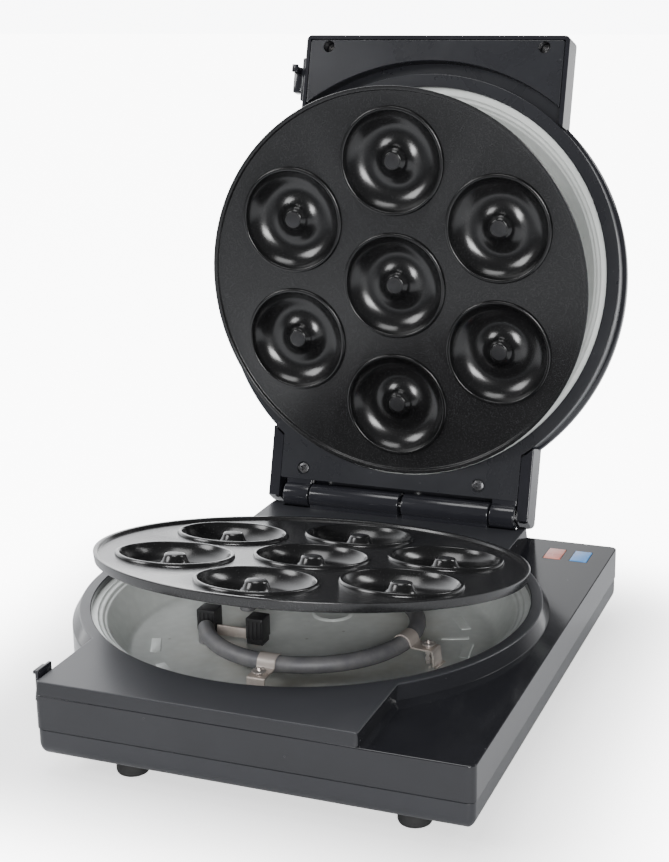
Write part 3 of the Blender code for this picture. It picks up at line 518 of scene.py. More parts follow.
# %% Polished and satin black plastic
def moulding(name, slot, colour, roughness, grain_depth, wave_depth, fineness=1400.0, satin_above=None):
    """A moulded black plastic: grain, wavy wall, smudges, scratches and dust; satin above a height."""
    material, tree, shader, where = surface(name, slot, Specular_IOR_Level=0.5)
    smudges = effect(tree, smudge, where, Size=26.0, Amount=0.5).outputs["Mask"]
    scratches = effect(tree, scratch, where, Fineness=420.0, Amount=0.12).outputs["Mask"]
    specks = effect(tree, dust, where, Spacing=330.0, Share=0.03).outputs["Mask"]
    deep = (*colour, 1)
    pale = (*[min(1.0, c * 1.35 + 0.002) for c in colour], 1)
    tinted = blend_colour(tree, smudges, deep, pale)
    if satin_above:
        height_here = add(tree, "ShaderNodeSeparateXYZ", Vector=where).outputs[2]
        satin = ranged(tree, height_here, satin_above - 0.4 * mm, satin_above)
        tinted = blend_colour(tree, satin, tinted, (0.026, 0.027, 0.031, 1))
    dusty = blend_colour(tree, times(tree, specks, 0.18), tinted, (0.20, 0.20, 0.21, 1))
    tree.links.new(dusty, shader.inputs["Base Color"])
    worn = plus(tree, times(tree, smudges, 0.09), roughness)
    worn = plus(tree, times(tree, scratches, 0.10), worn)
    if satin_above:
        worn = plus(tree, times(tree, satin, 0.22), worn)
    worn = plus(tree, times(tree, specks, 0.3), worn, clamp=True)
    tree.links.new(worn, shader.inputs["Roughness"])
    fine = effect(tree, grain, where, Fineness=fineness, Contrast=grain_depth).outputs["Height"]
    wave = add(tree, "ShaderNodeTexNoise", Vector=where, Scale=14.0, Detail=1.0)
    slow = times(tree, wave.outputs["Fac"], wave_depth)
    height = plus(tree, fine, slow)
    bump(tree, shader, height, 1.0, 0.001)
    return material


gloss_black = moulding("polished_black_plastic", "gloss_black_plastic", (0.0145, 0.0148, 0.0185), 0.13, 0.004, 0.12)
base_black = moulding("base_black_plastic", "gloss_black_plastic", (0.011, 0.0113, 0.0135), 0.12, 0.004, 0.10,
                      satin_above=deck_z - 0.3 * mm)
wall_black = moulding("satin_grey_black_plastic", "satin_black_plastic", (0.015, 0.0155, 0.0185), 0.32, 0.04, 0.05)
frame_black = moulding("satin_frame_plastic", "gloss_black_plastic", (0.014, 0.0147, 0.0180), 0.27, 0.025, 0.05)
rubber = moulding("black_rubber", "black_rubber", (0.012, 0.012, 0.012), 0.75, 0.25, 0.02, 700.0)
print("plastics ready")


# %% [markdown]
# ### Non-stick coating
#
# A sprayed coating is matt black with tiny pale flecks of filler, and a faint orange-peel
# surface. The ring moulds are burnished by use, so they are glossier than the flat between
# them. One function makes both: the disc carries one and the ring moulds the other.

# %% Coating
def coating(name, roughness, share, peel, colour=0.013):
    """A flecked non-stick coating."""
    material, tree, shader, where = surface(name, "non_stick_coating", Specular_IOR_Level=0.55)
    flecks_node = effect(tree, fleck, where, Fineness=3200.0, Share=share)
    smudges = effect(tree, smudge, where, Size=18.0, Amount=0.6).outputs["Mask"]
    base = blend_colour(tree, smudges, (colour, colour, colour * 1.05, 1),
                        (colour * 1.5, colour * 1.5, colour * 1.6, 1))
    flecked = blend_colour(tree, times(tree, flecks_node.outputs["Mask"], 0.22), base,
                           (0.11, 0.11, 0.115, 1))
    tree.links.new(flecked, shader.inputs["Base Color"])
    rough = plus(tree, times(tree, smudges, 0.08), roughness)
    rough = math_node(tree, "SUBTRACT", rough, times(tree, flecks_node.outputs["Mask"], 0.05))
    tree.links.new(rough, shader.inputs["Roughness"])
    bump(tree, shader, flecks_node.outputs["Height"], peel, 0.0002)
    return material


coat_flat = coating("non_stick_face", 0.22, 0.12, 0.015, 0.009)
coat_well = coating("non_stick_mould", 0.20, 0.04, 0.05, 0.005)
print("coatings ready")


# %% [markdown]
# ### Metals
#
# The reflector pans are pressed from aluminised sheet: pale, slightly green, softly rolled,
# and a little straw-coloured where the heater bakes them. Screws and clamps are plated, and
# the heater's sheath is oxidised to a dull dark grey.

# %% Aluminised sheet with heat tint
def pan_sheet(name, centre, normal_axis):
    """Pan metal; the tint follows the distance from the pan's axis."""
    material, tree, shader, where = surface(name, "aluminised_steel", Metallic=0.40)
    offset = add(tree, "ShaderNodeVectorMath", {"operation": "SUBTRACT"}, i0=where, i1=tuple(centre)).outputs[0]
    along = add(tree, "ShaderNodeVectorMath", {"operation": "DOT_PRODUCT"}, i0=offset,
                i1=tuple(normal_axis)).outputs[1]
    length = add(tree, "ShaderNodeVectorMath", {"operation": "LENGTH"}, i0=offset).outputs[1]
    squared = math_node(tree, "SUBTRACT", math_node(tree, "POWER", length, 2.0),
                        math_node(tree, "POWER", along, 2.0))
    radius = math_node(tree, "SQRT", math_node(tree, "MAXIMUM", squared, 0.0))
    from_ring = math_node(tree, "ABSOLUTE", math_node(tree, "SUBTRACT", radius, 0.0485))
    heat = ranged(tree, from_ring, 0.002, 0.020, 0.55, 0.0)
    cloudy = add(tree, "ShaderNodeTexNoise", Vector=where, Scale=38.0, Detail=4.0, Distortion=0.4)
    heat = times(tree, heat, ranged(tree, cloudy.outputs["Fac"], 0.35, 0.7))
    spangle = add(tree, "ShaderNodeTexVoronoi", {"feature": "SMOOTH_F1"}, Vector=where, Scale=260.0)
    bright = blend_colour(tree, ranged(tree, spangle.outputs["Distance"], 0.1, 0.7), (0.84, 0.87, 0.845, 1),
                          (0.78, 0.81, 0.785, 1))
    tinted = blend_colour(tree, heat, bright, (0.52, 0.48, 0.38, 1))
    specks = effect(tree, dust, where, Spacing=150.0, Share=0.08).outputs["Mask"]
    tree.links.new(blend_colour(tree, times(tree, specks, 0.5), tinted, (0.35, 0.34, 0.31, 1)),
                   shader.inputs["Base Color"])
    scratches = effect(tree, scratch, where, Fineness=260.0, Amount=0.6).outputs["Mask"]
    rough = plus(tree, times(tree, spangle.outputs["Distance"], 0.10), 0.36)
    tree.links.new(plus(tree, rough, times(tree, scratches, 0.15)),
                   shader.inputs["Roughness"])
    rolled = add(tree, "ShaderNodeMapping", Vector=where, Scale=(900.0, 25.0, 25.0))
    lines = add(tree, "ShaderNodeTexNoise", Vector=rolled.outputs[0], Scale=1.0, Detail=2.0)
    bump(tree, shader, lines.outputs["Fac"], 0.10, 0.0002)
    return material


lid_normal = PLACE["lid"].to_3x3() @ Vector((0, 0, 1))
lower_sheet = pan_sheet("lower_pan_sheet", plate_axis, (0, 0, 1))
upper_sheet = pan_sheet("upper_pan_sheet", PLACE["lid"] @ Vector((0, 0, face_z)), lid_normal)
print("pan sheet ready")


# %% Plated, oxidised and coppery metals
def worked_metal(name, slot, colour, spots, roughness, metallic=1.0, blotch=60.0):
    """A small metal part: two tones in soft blotches, fine scratches."""
    material, tree, shader, where = surface(name, slot, Metallic=metallic)
    cloud_node = add(tree, "ShaderNodeTexNoise", Vector=where, Scale=blotch, Detail=5.0, Roughness=0.65)
    mask = ranged(tree, cloud_node.outputs["Fac"], 0.40, 0.66)
    tree.links.new(blend_colour(tree, mask, (*colour, 1), (*spots, 1)), shader.inputs["Base Color"])
    scratches = effect(tree, scratch, where, Fineness=900.0, Amount=0.5).outputs["Mask"]
    rough = plus(tree, times(tree, mask, 0.14), roughness)
    tree.links.new(plus(tree, rough, times(tree, scratches, 0.15)),
                   shader.inputs["Roughness"])
    fine = effect(tree, grain, where, Fineness=1600.0, Contrast=0.08).outputs["Height"]
    bump(tree, shader, fine, 1.0, 0.0006)
    return material


sheath = worked_metal("heater_sheath", "heater_sheath", (0.135, 0.135, 0.145), (0.19, 0.188, 0.19), 0.50,
                      0.35, 140.0)
plated = worked_metal("plated_screw", "plated_steel", (0.78, 0.73, 0.70), (0.58, 0.53, 0.50), 0.26, 0.75)
dark_plated = worked_metal("blackened_screw", "plated_steel", (0.11, 0.11, 0.115), (0.17, 0.165, 0.16), 0.30, 0.9)
clamp_metal = worked_metal("clamp_strap", "aluminised_steel", (0.74, 0.67, 0.62), (0.56, 0.49, 0.44), 0.32, 0.65)
coppery = worked_metal("copper_terminal", "brass_terminal", (0.62, 0.40, 0.27), (0.40, 0.25, 0.17), 0.30)
steel = worked_metal("hinge_steel", "hinge_steel", (0.55, 0.55, 0.56), (0.40, 0.40, 0.40), 0.28)
post_metal = worked_metal("bare_post_top", "non_stick_coating", (0.022, 0.022, 0.024),
                          (0.014, 0.014, 0.015), 0.30, 0.2, 200.0)
phenolic = moulding("black_phenolic", "black_phenolic", (0.016, 0.016, 0.017), 0.42, 0.12, 0.02)
cream = moulding("cream_moulding", "lamp_body", (0.62, 0.58, 0.50), 0.45, 0.1, 0.02)
print("metals ready")


# %% [markdown]
# ### Pilot lamps
#
# The two lenses are thin coloured plastic over a lamp. Light scatters in them, so they look
# deeper than paint. A little subsurface scattering and a cloudy change of colour do that, with a
# clear coat for the polished top.

# %% Lens plastic
def lens_plastic(name, slot, colour, deep):
    """Coloured translucent plastic."""
    material, tree, shader, where = surface(name, slot, Subsurface_Weight=0.25, Subsurface_Scale=0.002,
                                            Coat_Weight=0.4, Coat_Roughness=0.08)
    cloud_node = add(tree, "ShaderNodeTexNoise", Vector=where, Scale=170.0, Detail=3.0)
    mask = ranged(tree, cloud_node.outputs["Fac"], 0.35, 0.7)
    tree.links.new(blend_colour(tree, mask, (*colour, 1), (*deep, 1)), shader.inputs["Base Color"])
    scratches = effect(tree, scratch, where, Fineness=800.0, Amount=0.4).outputs["Mask"]
    tree.links.new(plus(tree, times(tree, scratches, 0.2), 0.22), shader.inputs["Roughness"])
    bump(tree, shader, cloud_node.outputs["Fac"], 0.15, 0.0003)
    return material


red_plastic = lens_plastic("red_lens", "red_lens", (0.66, 0.26, 0.21), (0.56, 0.20, 0.16))
blue_plastic = lens_plastic("blue_lens", "blue_lens", (0.08, 0.30, 0.68), (0.06, 0.24, 0.58))
print("materials:", len(bpy.data.materials))


# %% [markdown]
# ## The base's upper shell
#
# On the real thing this is one deep moulding: a flat control strip on the right and round the
# left-hand bulge, a raised deck down the middle, and a raised ring that the lower plate drops
# into. The hinge knuckles grow out of the deck's back edge. It is built as the mould-maker
# would: stack the raised shapes, hollow the underside, bore the bowl, then cut the windows.

# %% Outline of the base
deck_half, front_y, back_y, strip_edge = 71 * mm, 126.5 * mm, 120 * mm, 116.5 * mm
ring_top, ring_foot = 105.5 * mm, 109.0 * mm
bore, pan_edge = 100.4 * mm, 103.4 * mm
wall = 2.5 * mm


def base_outline(inset=0.0, corner=5 * mm):
    """The base seen from above, its square corners rounded by corner before the inset."""
    left, front, back = deck_half - inset, front_y - inset, back_y - inset
    edge, bulge = strip_edge - inset, ring_foot - inset
    meet = math.degrees(math.acos(left / bulge))
    c = max(corner - inset, 0.05 * mm)
    return (arc(c, 180, 270, 5, (-left + c, -front + c)) + arc(c, -90, 0, 5, (edge - c, -front + c))
            + arc(c, 0, 90, 5, (edge - c, back - c)) + arc(c, 90, 180, 5, (-left + c, back - c))
            + arc(bulge, 180 - meet, 180 + meet, 72))


def box_outline(front, back, half, corner=0.0, inset=0.0):
    """A rectangle with rounded corners, drawn in by inset on every side."""
    c = max(corner - inset, 0.05 * mm)
    front, back, half = front + inset, back - inset, half - inset
    return (arc(c, 180, 270, 4, (-half + c, front + c)) + arc(c, -90, 0, 4, (half - c, front + c))
            + arc(c, 0, 90, 4, (half - c, back - c)) + arc(c, 90, 180, 4, (-half + c, back - c)))


knuckles = ((-61.6 * mm, -47.5 * mm), (-46.9 * mm, 2.9 * mm), (4.6 * mm, 51.3 * mm), (51.9 * mm, 64.9 * mm))
print("outline points", len(base_outline()))

# %% Shape the upper shell
upper_shell = blank("base_top_moulding", moulded(lambda inset: base_outline(inset, 3.2 * mm),
                                                parting_z + 0.15 * mm, strip_z, 0.5 * mm, 0.25 * mm))
slope = 1.5 * mm
deck = moulded(lambda inset: box_outline(-front_y, back_y, deck_half, 2.4 * mm, inset), strip_z - wall, deck_z,
               0.5 * mm, lean=1.0 * mm)
ring_chain = softened([(0, strip_z - wall), (ring_foot, strip_z - wall), (ring_foot, strip_z), (ring_top, deck_z),
                       (0, deck_z)], 0.5 * mm, 5)
ring = turned(ring_chain, 256)
carve(upper_shell, "UNION", deck, ring)
below = parting_z - 1 * mm
strip_room = sheet(base_outline(wall), below, strip_z - wall)
deck_room = sheet(box_outline(-front_y + wall + slope, back_y - wall - slope, deck_half - wall - 1 * mm), below,
                  deck_z - wall)
mouth = [(bore, deck_z - 3.4 * mm)]
mouth += [(bore + 0.5 * mm * (1 - math.cos(a)), deck_z - 0.5 * mm * (1 - math.sin(a)))
          for a in (math.pi / 2 * i / 5 for i in range(6))]
bowl = turned([(0, below), (pan_edge + gap, below), (pan_edge + gap, deck_z - 3.4 * mm)] + mouth
              + [(bore + 0.5 * mm, deck_z + 1 * mm), (0, deck_z + 1 * mm)], 256)
carve(upper_shell, "DIFFERENCE", strip_room, deck_room, bowl)
for colour in ("red", "blue"):
    low, high = drawn_box(colour + "_lens")
    carve(upper_shell, "DIFFERENCE",
          block(low - Vector((gap, gap, 3 * mm)), high + Vector((gap, gap, 1 * mm))))
troughs = [rod(7.2 * mm, (low - 0.7 * mm, hinge_y, hinge_z), (high + 0.7 * mm, hinge_y, hinge_z), 64)
           for low, high in (knuckles[0], knuckles[3])]
carve(upper_shell, "DIFFERENCE", *troughs)
print("upper shell faces", len(upper_shell.data.polygons))

# %% [markdown]
# The base's two long hinge knuckles stand on short necks. They are turned and softened by
# themselves, and each is its own piece, because a Boolean join would damage their round ends
# and nobody can see where the neck enters the deck.

# %% Knuckles and finish of the upper shell
def knuckle(low, high):
    """A hinge barrel with a pin hole, on the hinge axis."""
    profile = softened([(2.3 * mm, low), (6.4 * mm, low), (6.4 * mm, high), (2.3 * mm, high)], 0.7 * mm, 4)
    barrel = turned(profile, 64, ring=True)
    turn = Matrix.Translation((0, hinge_y, hinge_z)) @ Matrix.Rotation(math.radians(90), 4, "Y")
    bmesh.ops.transform(barrel, matrix=turn, verts=barrel.verts)
    return barrel


settle(upper_shell, "base", base_black, "base_upper_shell", flats=True, sharp=32)
for index, (low, high) in enumerate(knuckles[1:3], 1):
    part = blank(f"base_knuckle_{index}", knuckle(low, high))
    add_shapes(part, block((low + 0.3 * mm, hinge_y - 5.4 * mm, deck_z - 1.2 * mm),
                           (high - 0.3 * mm, hinge_y + 1.4 * mm, hinge_z - 2.9 * mm), 0.4 * mm))
    settle(part, "base", gloss_black)
print("base top done")

# %% [markdown]
# ## The base's lower shell
#
# The lower half stands in by a third of a millimetre, which draws the fine parting line round the
# base, and its bottom edge is generously rounded. Its satin finish comes from a sparked
# mould. It is stacked from outlines that draw in towards the bottom, and then the inside is
# cut out.

# %% Shape the lower shell
step_in = 0.3 * mm
shell = moulded(lambda inset: base_outline(inset + step_in, 3.5 * mm), foot_z, parting_z - 0.15 * mm, 0.25 * mm,
                5.6 * mm, steps=7)
lower_shell = blank("base_bottom_moulding", shell)
carve(lower_shell, "DIFFERENCE",
      sheet(base_outline(step_in + wall + 4 * mm), foot_z + wall, parting_z + 1 * mm,
            base_outline(step_in + wall)))
print("lower shell faces", len(lower_shell.data.polygons))

# %% [markdown]
# Underneath, a real base has cooling slots, screw wells and a shallow recess for a rating
# plate. The plate itself carries only print, so it is left blank. These are cut from the
# floor with round-ended slots and round bars.

# %% Underside details
def slot_cutter(x, y, length, width, low, high):
    """An upright slot with round ends, its length along X."""
    half = length / 2 - width / 2
    outline = arc(width / 2, -90, 90, 8, (x + half, y)) + arc(width / 2, 90, 270, 8, (x - half, y))
    return sheet(outline, low, high)


slots = [slot_cutter(x * mm, (30 + 7 * row) * mm, 24 * mm, 2.4 * mm, foot_z - 1 * mm, foot_z + wall + 1 * mm)
         for x in (-30, 0, 30) for row in range(5)]
carve(lower_shell, "DIFFERENCE", *slots)
recess = sheet(box_outline(-70 * mm, -36 * mm, 34 * mm, 2.5 * mm), foot_z - 1 * mm, foot_z + 0.5 * mm)
wells_below = []
for i in range(1, 5):
    x, y = node_centre(f"base_screw_{i}").xy
    wells_below.append(rod(3.4 * mm, (x, y, foot_z - 1 * mm), (x, y, foot_z + 1.4 * mm), 40))
    wells_below.append(rod(1.8 * mm, (x, y, foot_z), (x, y, foot_z + 4 * mm), 24))
gland_x, gland_z = node_centre("cord_gland").xz
gland_back = drawn_box("cord_gland")[1].y
gland_hole = rod(3.3 * mm, (gland_x, back_y - 8 * mm, gland_z), (gland_x, back_y + 3 * mm, gland_z), 40)
carve(lower_shell, "DIFFERENCE", recess, gland_hole, *wells_below)
settle(lower_shell, "base", wall_black, "base_lower_shell", flats=True, sharp=34)
print("lower shell done")

# %% Feet, gland and lenses
for i in range(1, 5):
    x, y = node_centre(f"foot_{i}").xy
    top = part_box(f"foot_{i}")[1].z
    chain = [(0, 0.5 * mm), (3.4 * mm, 0.5 * mm), (3.8 * mm, 0), (6.4 * mm, 0), (7 * mm, 1.4 * mm),
             (6.6 * mm, top), (0, top)]
    settle(blank(f"rubber_foot_{i}", turned(softened(chain, 0.6 * mm), 64, (x, y))), "base", rubber, f"foot_{i}")

chain = softened(in_mm((2.2, 0), (3, 0), (3, 3.2), (3.9, 3.2), (3.7, 5.3), (2.2, 5.3)),
                 0.35 * mm)
gland = turned(chain, 64, ring=True)
bmesh.ops.transform(gland, matrix=Matrix.Translation((gland_x, gland_back - 5.3 * mm, gland_z))
                    @ Matrix.Rotation(math.radians(-90), 4, "X"), verts=gland.verts)
settle(blank("lead_gland", gland), "base", rubber, "cord_gland")

for name, plastic in (("red", red_plastic), ("blue", blue_plastic)):
    lens = block(*drawn_box(name + "_lens"), 0.35 * mm, 4)
    settle(blank(name + "_lamp_lens", lens), "base", plastic, name + "_lens")
print("small base parts done")

# %% [markdown]
# ## Reflector pans
#
# Each pan is pressed from thin sheet: a flat flange, two shallow steps that stiffen it, a
# sloped wall and a flat floor with a round boss and embossed pads. The wall's profile is
# spun with its real thickness, and the raised pads are softened bars laid on the floor.

# %% Pan profile and embossing
def pan_shape(flange, depth, down):
    """A pressed pan; down is -1 under the base's ring, +1 inside the lid."""
    top = [(pan_edge, 0), (97.6 * mm, 0), (96.9 * mm, 0.9 * mm), (95.2 * mm, 1.0 * mm), (94.6 * mm, 2.2 * mm),
           (93.4 * mm, 2.4 * mm), (92.4 * mm, 4.2 * mm), (85.2 * mm, depth - 1.6 * mm), (82.8 * mm, depth),
           (0, depth)]
    under = [(r, d + 0.8 * mm) for r, d in reversed(top)]
    chain = [(r, flange + down * d) for r, d in top + under]
    body = softened(chain[1:len(top) - 1], 0.8 * mm, 3)
    back = softened(chain[len(top) + 1:-1], 0.8 * mm, 3)
    axis_top, axis_back = chain[len(top) - 1], chain[len(top)]
    profile = [chain[0]] + [tuple(p) for p in body] + [axis_top]
    lining = [axis_back] + [tuple(p) for p in back] + [chain[-1]]
    return turned(profile + lining + [chain[0]], 192)


def emboss(radius, degrees, length, width, floor, down, along="round"):
    """A low softened bar on the pan's floor, lying round it or pointing at its centre."""
    half_l, half_w = length / 2, width / 2
    bar = block((-half_l, -half_w, -1.0 * mm), (half_l, half_w, 0.35 * mm), 0.65 * mm, 4)
    turn = degrees + (90 if along == "round" else 0)
    angle = math.radians(degrees)
    matrix = (Matrix.Translation((radius * math.cos(angle), radius * math.sin(angle), floor))
              @ Matrix.Rotation(math.radians(turn), 4, "Z") @ Matrix.Diagonal((1, 1, -down, 1)))
    bmesh.ops.transform(bar, matrix=matrix, verts=bar.verts)
    bmesh.ops.recalc_face_normals(bar, faces=bar.faces)
    return bar


lower_flange = deck_z - 3.4 * mm - gap
lower_floor = lower_flange - 19 * mm
upper_flange = upper_lip + 3.3 * mm + 0.4 * mm
upper_floor = upper_flange + 17 * mm
for name, body, flange, depth, down, material in (
        ("lower_pan", "base", lower_flange, 19 * mm, -1, lower_sheet),
        ("upper_pan", "lid", upper_flange, 17 * mm, 1, upper_sheet)):
    pan = blank(name, pan_shape(flange, depth, down))
    floor = flange + down * depth
    pads = [emboss(72 * mm, a, 16 * mm, 5 * mm, floor, down) for a in (205, 228, 292, 318, 344, 8, 34, 100)]
    pads += [emboss(66 * mm, a, 13 * mm, 4 * mm, floor, down, "inwards") for a in (270, 304, 20, 60)]
    disc = in_mm((0, 0.4), (10.2, 0.4), (9.4, -0.5), (8.4, -0.9), (7.6, -0.6), (0, -0.6))
    centre = turned([(r, floor + down * z) for r, z in disc], 96, (-2 * mm, 31 * mm))
    add_shapes(pan, centre, *pads)
    settle(pan, body, material, name.replace("_pan", "_reflector_pan"), sharp=40)
print("pans done")

# %% [markdown]
# ## Heaters
#
# A tubular heater is a steel tube bent into most of a circle, with both cold ends turned
# down through the pan. A curve with a round bevel is the natural way to draw a bent tube.
# It is turned into a mesh before it is placed, so its pattern stays put.

# %% Heater tubes
def heater(name, height, leg, down):
    """A bent tube as a mesh, drawn about the plate axis."""
    start, floor_shadow_pool, radius, bend = math.radians(210), math.radians(295), 48.8 * mm, 6 * mm

    def cold_end(angle, way):
        out = []
        for step in range(1, 13):
            part = math.pi / 2 * step / 12
            a = angle + way * bend * math.sin(part) / radius
            out.append((radius * math.cos(a), radius * math.sin(a), height + down * bend * (1 - math.cos(part))))
        return out + [(out[-1][0], out[-1][1], height + down * leg)]

    angles = [start + floor_shadow_pool * i / 150 for i in range(151)]
    ring = [(radius * math.cos(a), radius * math.sin(a), height) for a in angles]
    path = cold_end(angles[0], -1)[::-1] + ring + cold_end(angles[-1], 1)
    curve = bpy.data.curves.new(name, "CURVE")
    curve.dimensions = "3D"
    curve.bevel_depth = 3.8 * mm
    curve.bevel_resolution = 8
    curve.use_fill_caps = True
    spline = curve.splines.new("POLY")
    spline.points.add(len(path) - 1)
    for point, spot in zip(spline.points, path):
        point.co = (*spot, 1)
    loose = added("loose", curve)
    bpy.context.view_layer.update()
    mesh = bpy.data.meshes.new_from_object(loose.evaluated_get(bpy.context.evaluated_depsgraph_get()))
    bpy.data.objects.remove(loose)
    bpy.data.curves.remove(curve)
    return added(name, mesh)


lower_tube_z = deck_z - 14 * mm
upper_tube_z = face_z + 13.6 * mm
settle(heater("lower_heater", lower_tube_z, lower_tube_z - lower_floor - gap, -1), "base", sheath,
       "lower_heating_element", sharp=50)
settle(heater("upper_heater", upper_tube_z, upper_floor - upper_tube_z - gap, 1), "lid", sheath,
       "upper_heating_element", sharp=50)
print("heaters done")


# %% [markdown]
# ## Screws
#
# Every screw here is the same kind: a domed head with a cross recess. The recess is what
# makes a disc read as a screw, so it is really cut: two crossed bars are subtracted from a
# turned head.

# %% A cross-head screw
def screw(name, centre, head_z, radius, up, body, replaces, tip_z, material=None, proud=0.45):
    """A screw whose head faces up (+1) or down (-1) from head_z; proud is its dome in mm."""
    x, y = centre
    dome = [(0, 0), (radius * 0.55, -0.15 * proud * mm), (radius * 0.88, -0.7 * proud * mm),
            (radius, -proud * mm), (radius * 0.94, -proud * mm - 0.5 * mm), (1.5 * mm, -proud * mm - 0.6 * mm)]
    chain = [(r, head_z + up * d) for r, d in dome] + [(1.5 * mm, tip_z), (0, tip_z)]
    piece = blank(name, turned(softened(chain, 0.2 * mm), 48, centre))
    low, high = sorted((head_z - up * 0.95 * mm, head_z + up * 1 * mm))
    long, thick = radius * 0.62, radius * 0.15
    bars = [block((x - a, y - b, low), (x + a, y + b, high)) for a, b in ((long, thick), (thick, long))]
    for bar in bars:
        bmesh.ops.rotate(bar, verts=bar.verts, cent=(x, y, 0), matrix=Matrix.Rotation(math.radians(28), 3, "Z"))
    carve(piece, "DIFFERENCE", *bars)
    settle(piece, body, material or plated, replaces, sharp=28)


for i in range(1, 5):
    spot = node_centre(f"base_screw_{i}")
    screw(f"base_cross_screw_{i}", (spot.x, spot.y), foot_z + 0.2 * mm, 3 * mm, -1, "base", f"base_screw_{i}",
          parting_z + 6 * mm, dark_plated)
for i, deep in ((1, 6.0), (2, 6.0), (3, 0.2), (4, 0.2)):
    spot = node_centre(f"lid_screw_{i}", "lid")
    screw(f"lid_cross_screw_{i}", (spot.x, spot.y), face_z + (deep + 0.15) * mm, 2.7 * mm, -1, "lid",
          f"lid_screw_{i}", face_z + 10.8 * mm, dark_plated, 0.25)
for prefix, body, tube, floor, up in (("lower", "base", lower_tube_z, lower_floor, 1),
                                      ("upper", "lid", upper_tube_z, upper_floor, -1)):
    for i in (1, 2):
        spot = node_centre(f"{prefix}_clamp_screw_{i}", body).xy
        screw(f"{prefix}_strap_screw_{i}", spot, tube + up * 1.6 * mm, 3.3 * mm, up, body,
              f"{prefix}_clamp_screw_{i}", floor + up * gap)
print("screws done")


# %% Clamps
def clamp(name, degrees, floor, tube, up, body, replaces):
    """A bent strap: over the tube, down its outer side, out along a shelf and down to the floor.
    The upper ones only touch the tube's side, because the moulds come close to it there."""
    first = 10 if up > 0 else 154
    over = [(48.8 * mm - 4.5 * mm * math.cos(math.radians(a)), tube + up * 4.5 * mm * math.sin(math.radians(a)))
            for a in range(first, 171, 16)]
    shelf = tube - up * 0.6 * mm
    strap = over + [(53.6 * mm, shelf), (64.0 * mm, shelf), (64.6 * mm, floor + up * 0.8 * mm),
                    (66.4 * mm, floor + up * 0.8 * mm)]
    bm = bmesh.new()
    verts = [bm.verts.new((x, -4.2 * mm, z)) for x, z in softened(strap, 0.9 * mm, 3)]
    edges = [bm.edges.new(pair) for pair in zip(verts, verts[1:])]
    wide = bmesh.ops.extrude_edge_only(bm, edges=edges)["geom"]
    bmesh.ops.translate(bm, verts=[v for v in wide if isinstance(v, bmesh.types.BMVert)], vec=(0, 8.4 * mm, 0))
    bmesh.ops.recalc_face_normals(bm, faces=bm.faces)
    bmesh.ops.solidify(bm, geom=bm.faces[:], thickness=0.7 * mm)
    bmesh.ops.recalc_face_normals(bm, faces=bm.faces)
    bmesh.ops.rotate(bm, verts=bm.verts, cent=(0, 0, 0), matrix=Matrix.Rotation(math.radians(degrees), 3, "Z"))
    piece = blank(name, bm)
    out = 60.1 * mm
    x, y = out * math.cos(math.radians(degrees)), out * math.sin(math.radians(degrees))
    carve(piece, "DIFFERENCE", rod(1.8 * mm, (x, y, tube + up * 3 * mm), (x, y, tube - up * 4 * mm), 24))
    settle(piece, body, clamp_metal, replaces, sharp=40)


for i, degrees in ((1, 270), (2, 352)):
    clamp(f"lower_strap_{i}", degrees, lower_floor, lower_tube_z, 1, "base", f"lower_clamp_{i}")
    clamp(f"upper_strap_{i}", degrees, upper_floor, upper_tube_z, -1, "lid", f"upper_clamp_{i}")
print("clamps done")


# %% Thermostat
def rounded_copy(node, name, body, material, soft=0.5 * mm):
    """A boxy CAD node made again as a softened block of the same size."""
    return settle(blank(name, block(*drawn_box(node), soft, 3)), body, material, node)


for side in ("left", "right"):
    low, high = drawn_box(f"thermostat_block_{side}")
    body = block(low, high, 0.5 * mm)
    wide = high.x - low.x
    ribs = [block((low.x + (0.16 + 0.24 * i) * wide, low.y - 0.5 * mm, low.z - 1 * mm),
                  (low.x + (0.26 + 0.24 * i) * wide, low.y + 0.6 * mm, high.z - 1.4 * mm)) for i in range(4)]
    piece = carve(blank(f"thermostat_{side}", body), "DIFFERENCE", *ribs)
    foot = block((low.x + 0.3 * mm, low.y + 0.3 * mm, lower_floor + 0.6 * mm),
                 (high.x - 0.3 * mm, high.y - 1 * mm, low.z + 0.4 * mm), 0.3 * mm)
    add_shapes(piece, foot)
    settle(piece, "base", phenolic, f"thermostat_block_{side}")
    rounded_copy(f"terminal_{side}", f"terminal_tab_{side}", "base", coppery, 0.3 * mm)
rounded_copy("thermostat_bracket", "thermostat_plate", "base", clamp_metal, 0.3 * mm)
rounded_copy("terminal_block", "wire_block", "base", cream, 0.6 * mm)
for node, material in (("red_lamp", cream), ("blue_lamp", cream), ("thermal_fuse", plated), ("hinge_pin", steel)):
    solid = frame["nodes"][node]
    solid.data.materials.clear()
    solid.data.materials.append(material)
print("thermostat done")

# %% [markdown]
# ## Baking plates
#
# A plate is cast, then turned: a flat face a little below a raised lip, a short tapered
# skirt, and seven ring moulds. A mould is a round channel with a flat-topped post in the
# middle and a small raised bead round its mouth. The plate is a disc with seven round holes,
# and each mould is one turned shell that closes its hole. That keeps the flat perfectly flat
# and the moulds perfectly round, which a Boolean join of curved walls wouldn't.

# %% One ring mould
mould_pitch = 62.6 * mm
mould_spots = [(0.0, 0.0)] + arc(mould_pitch, 90, 390, 5)


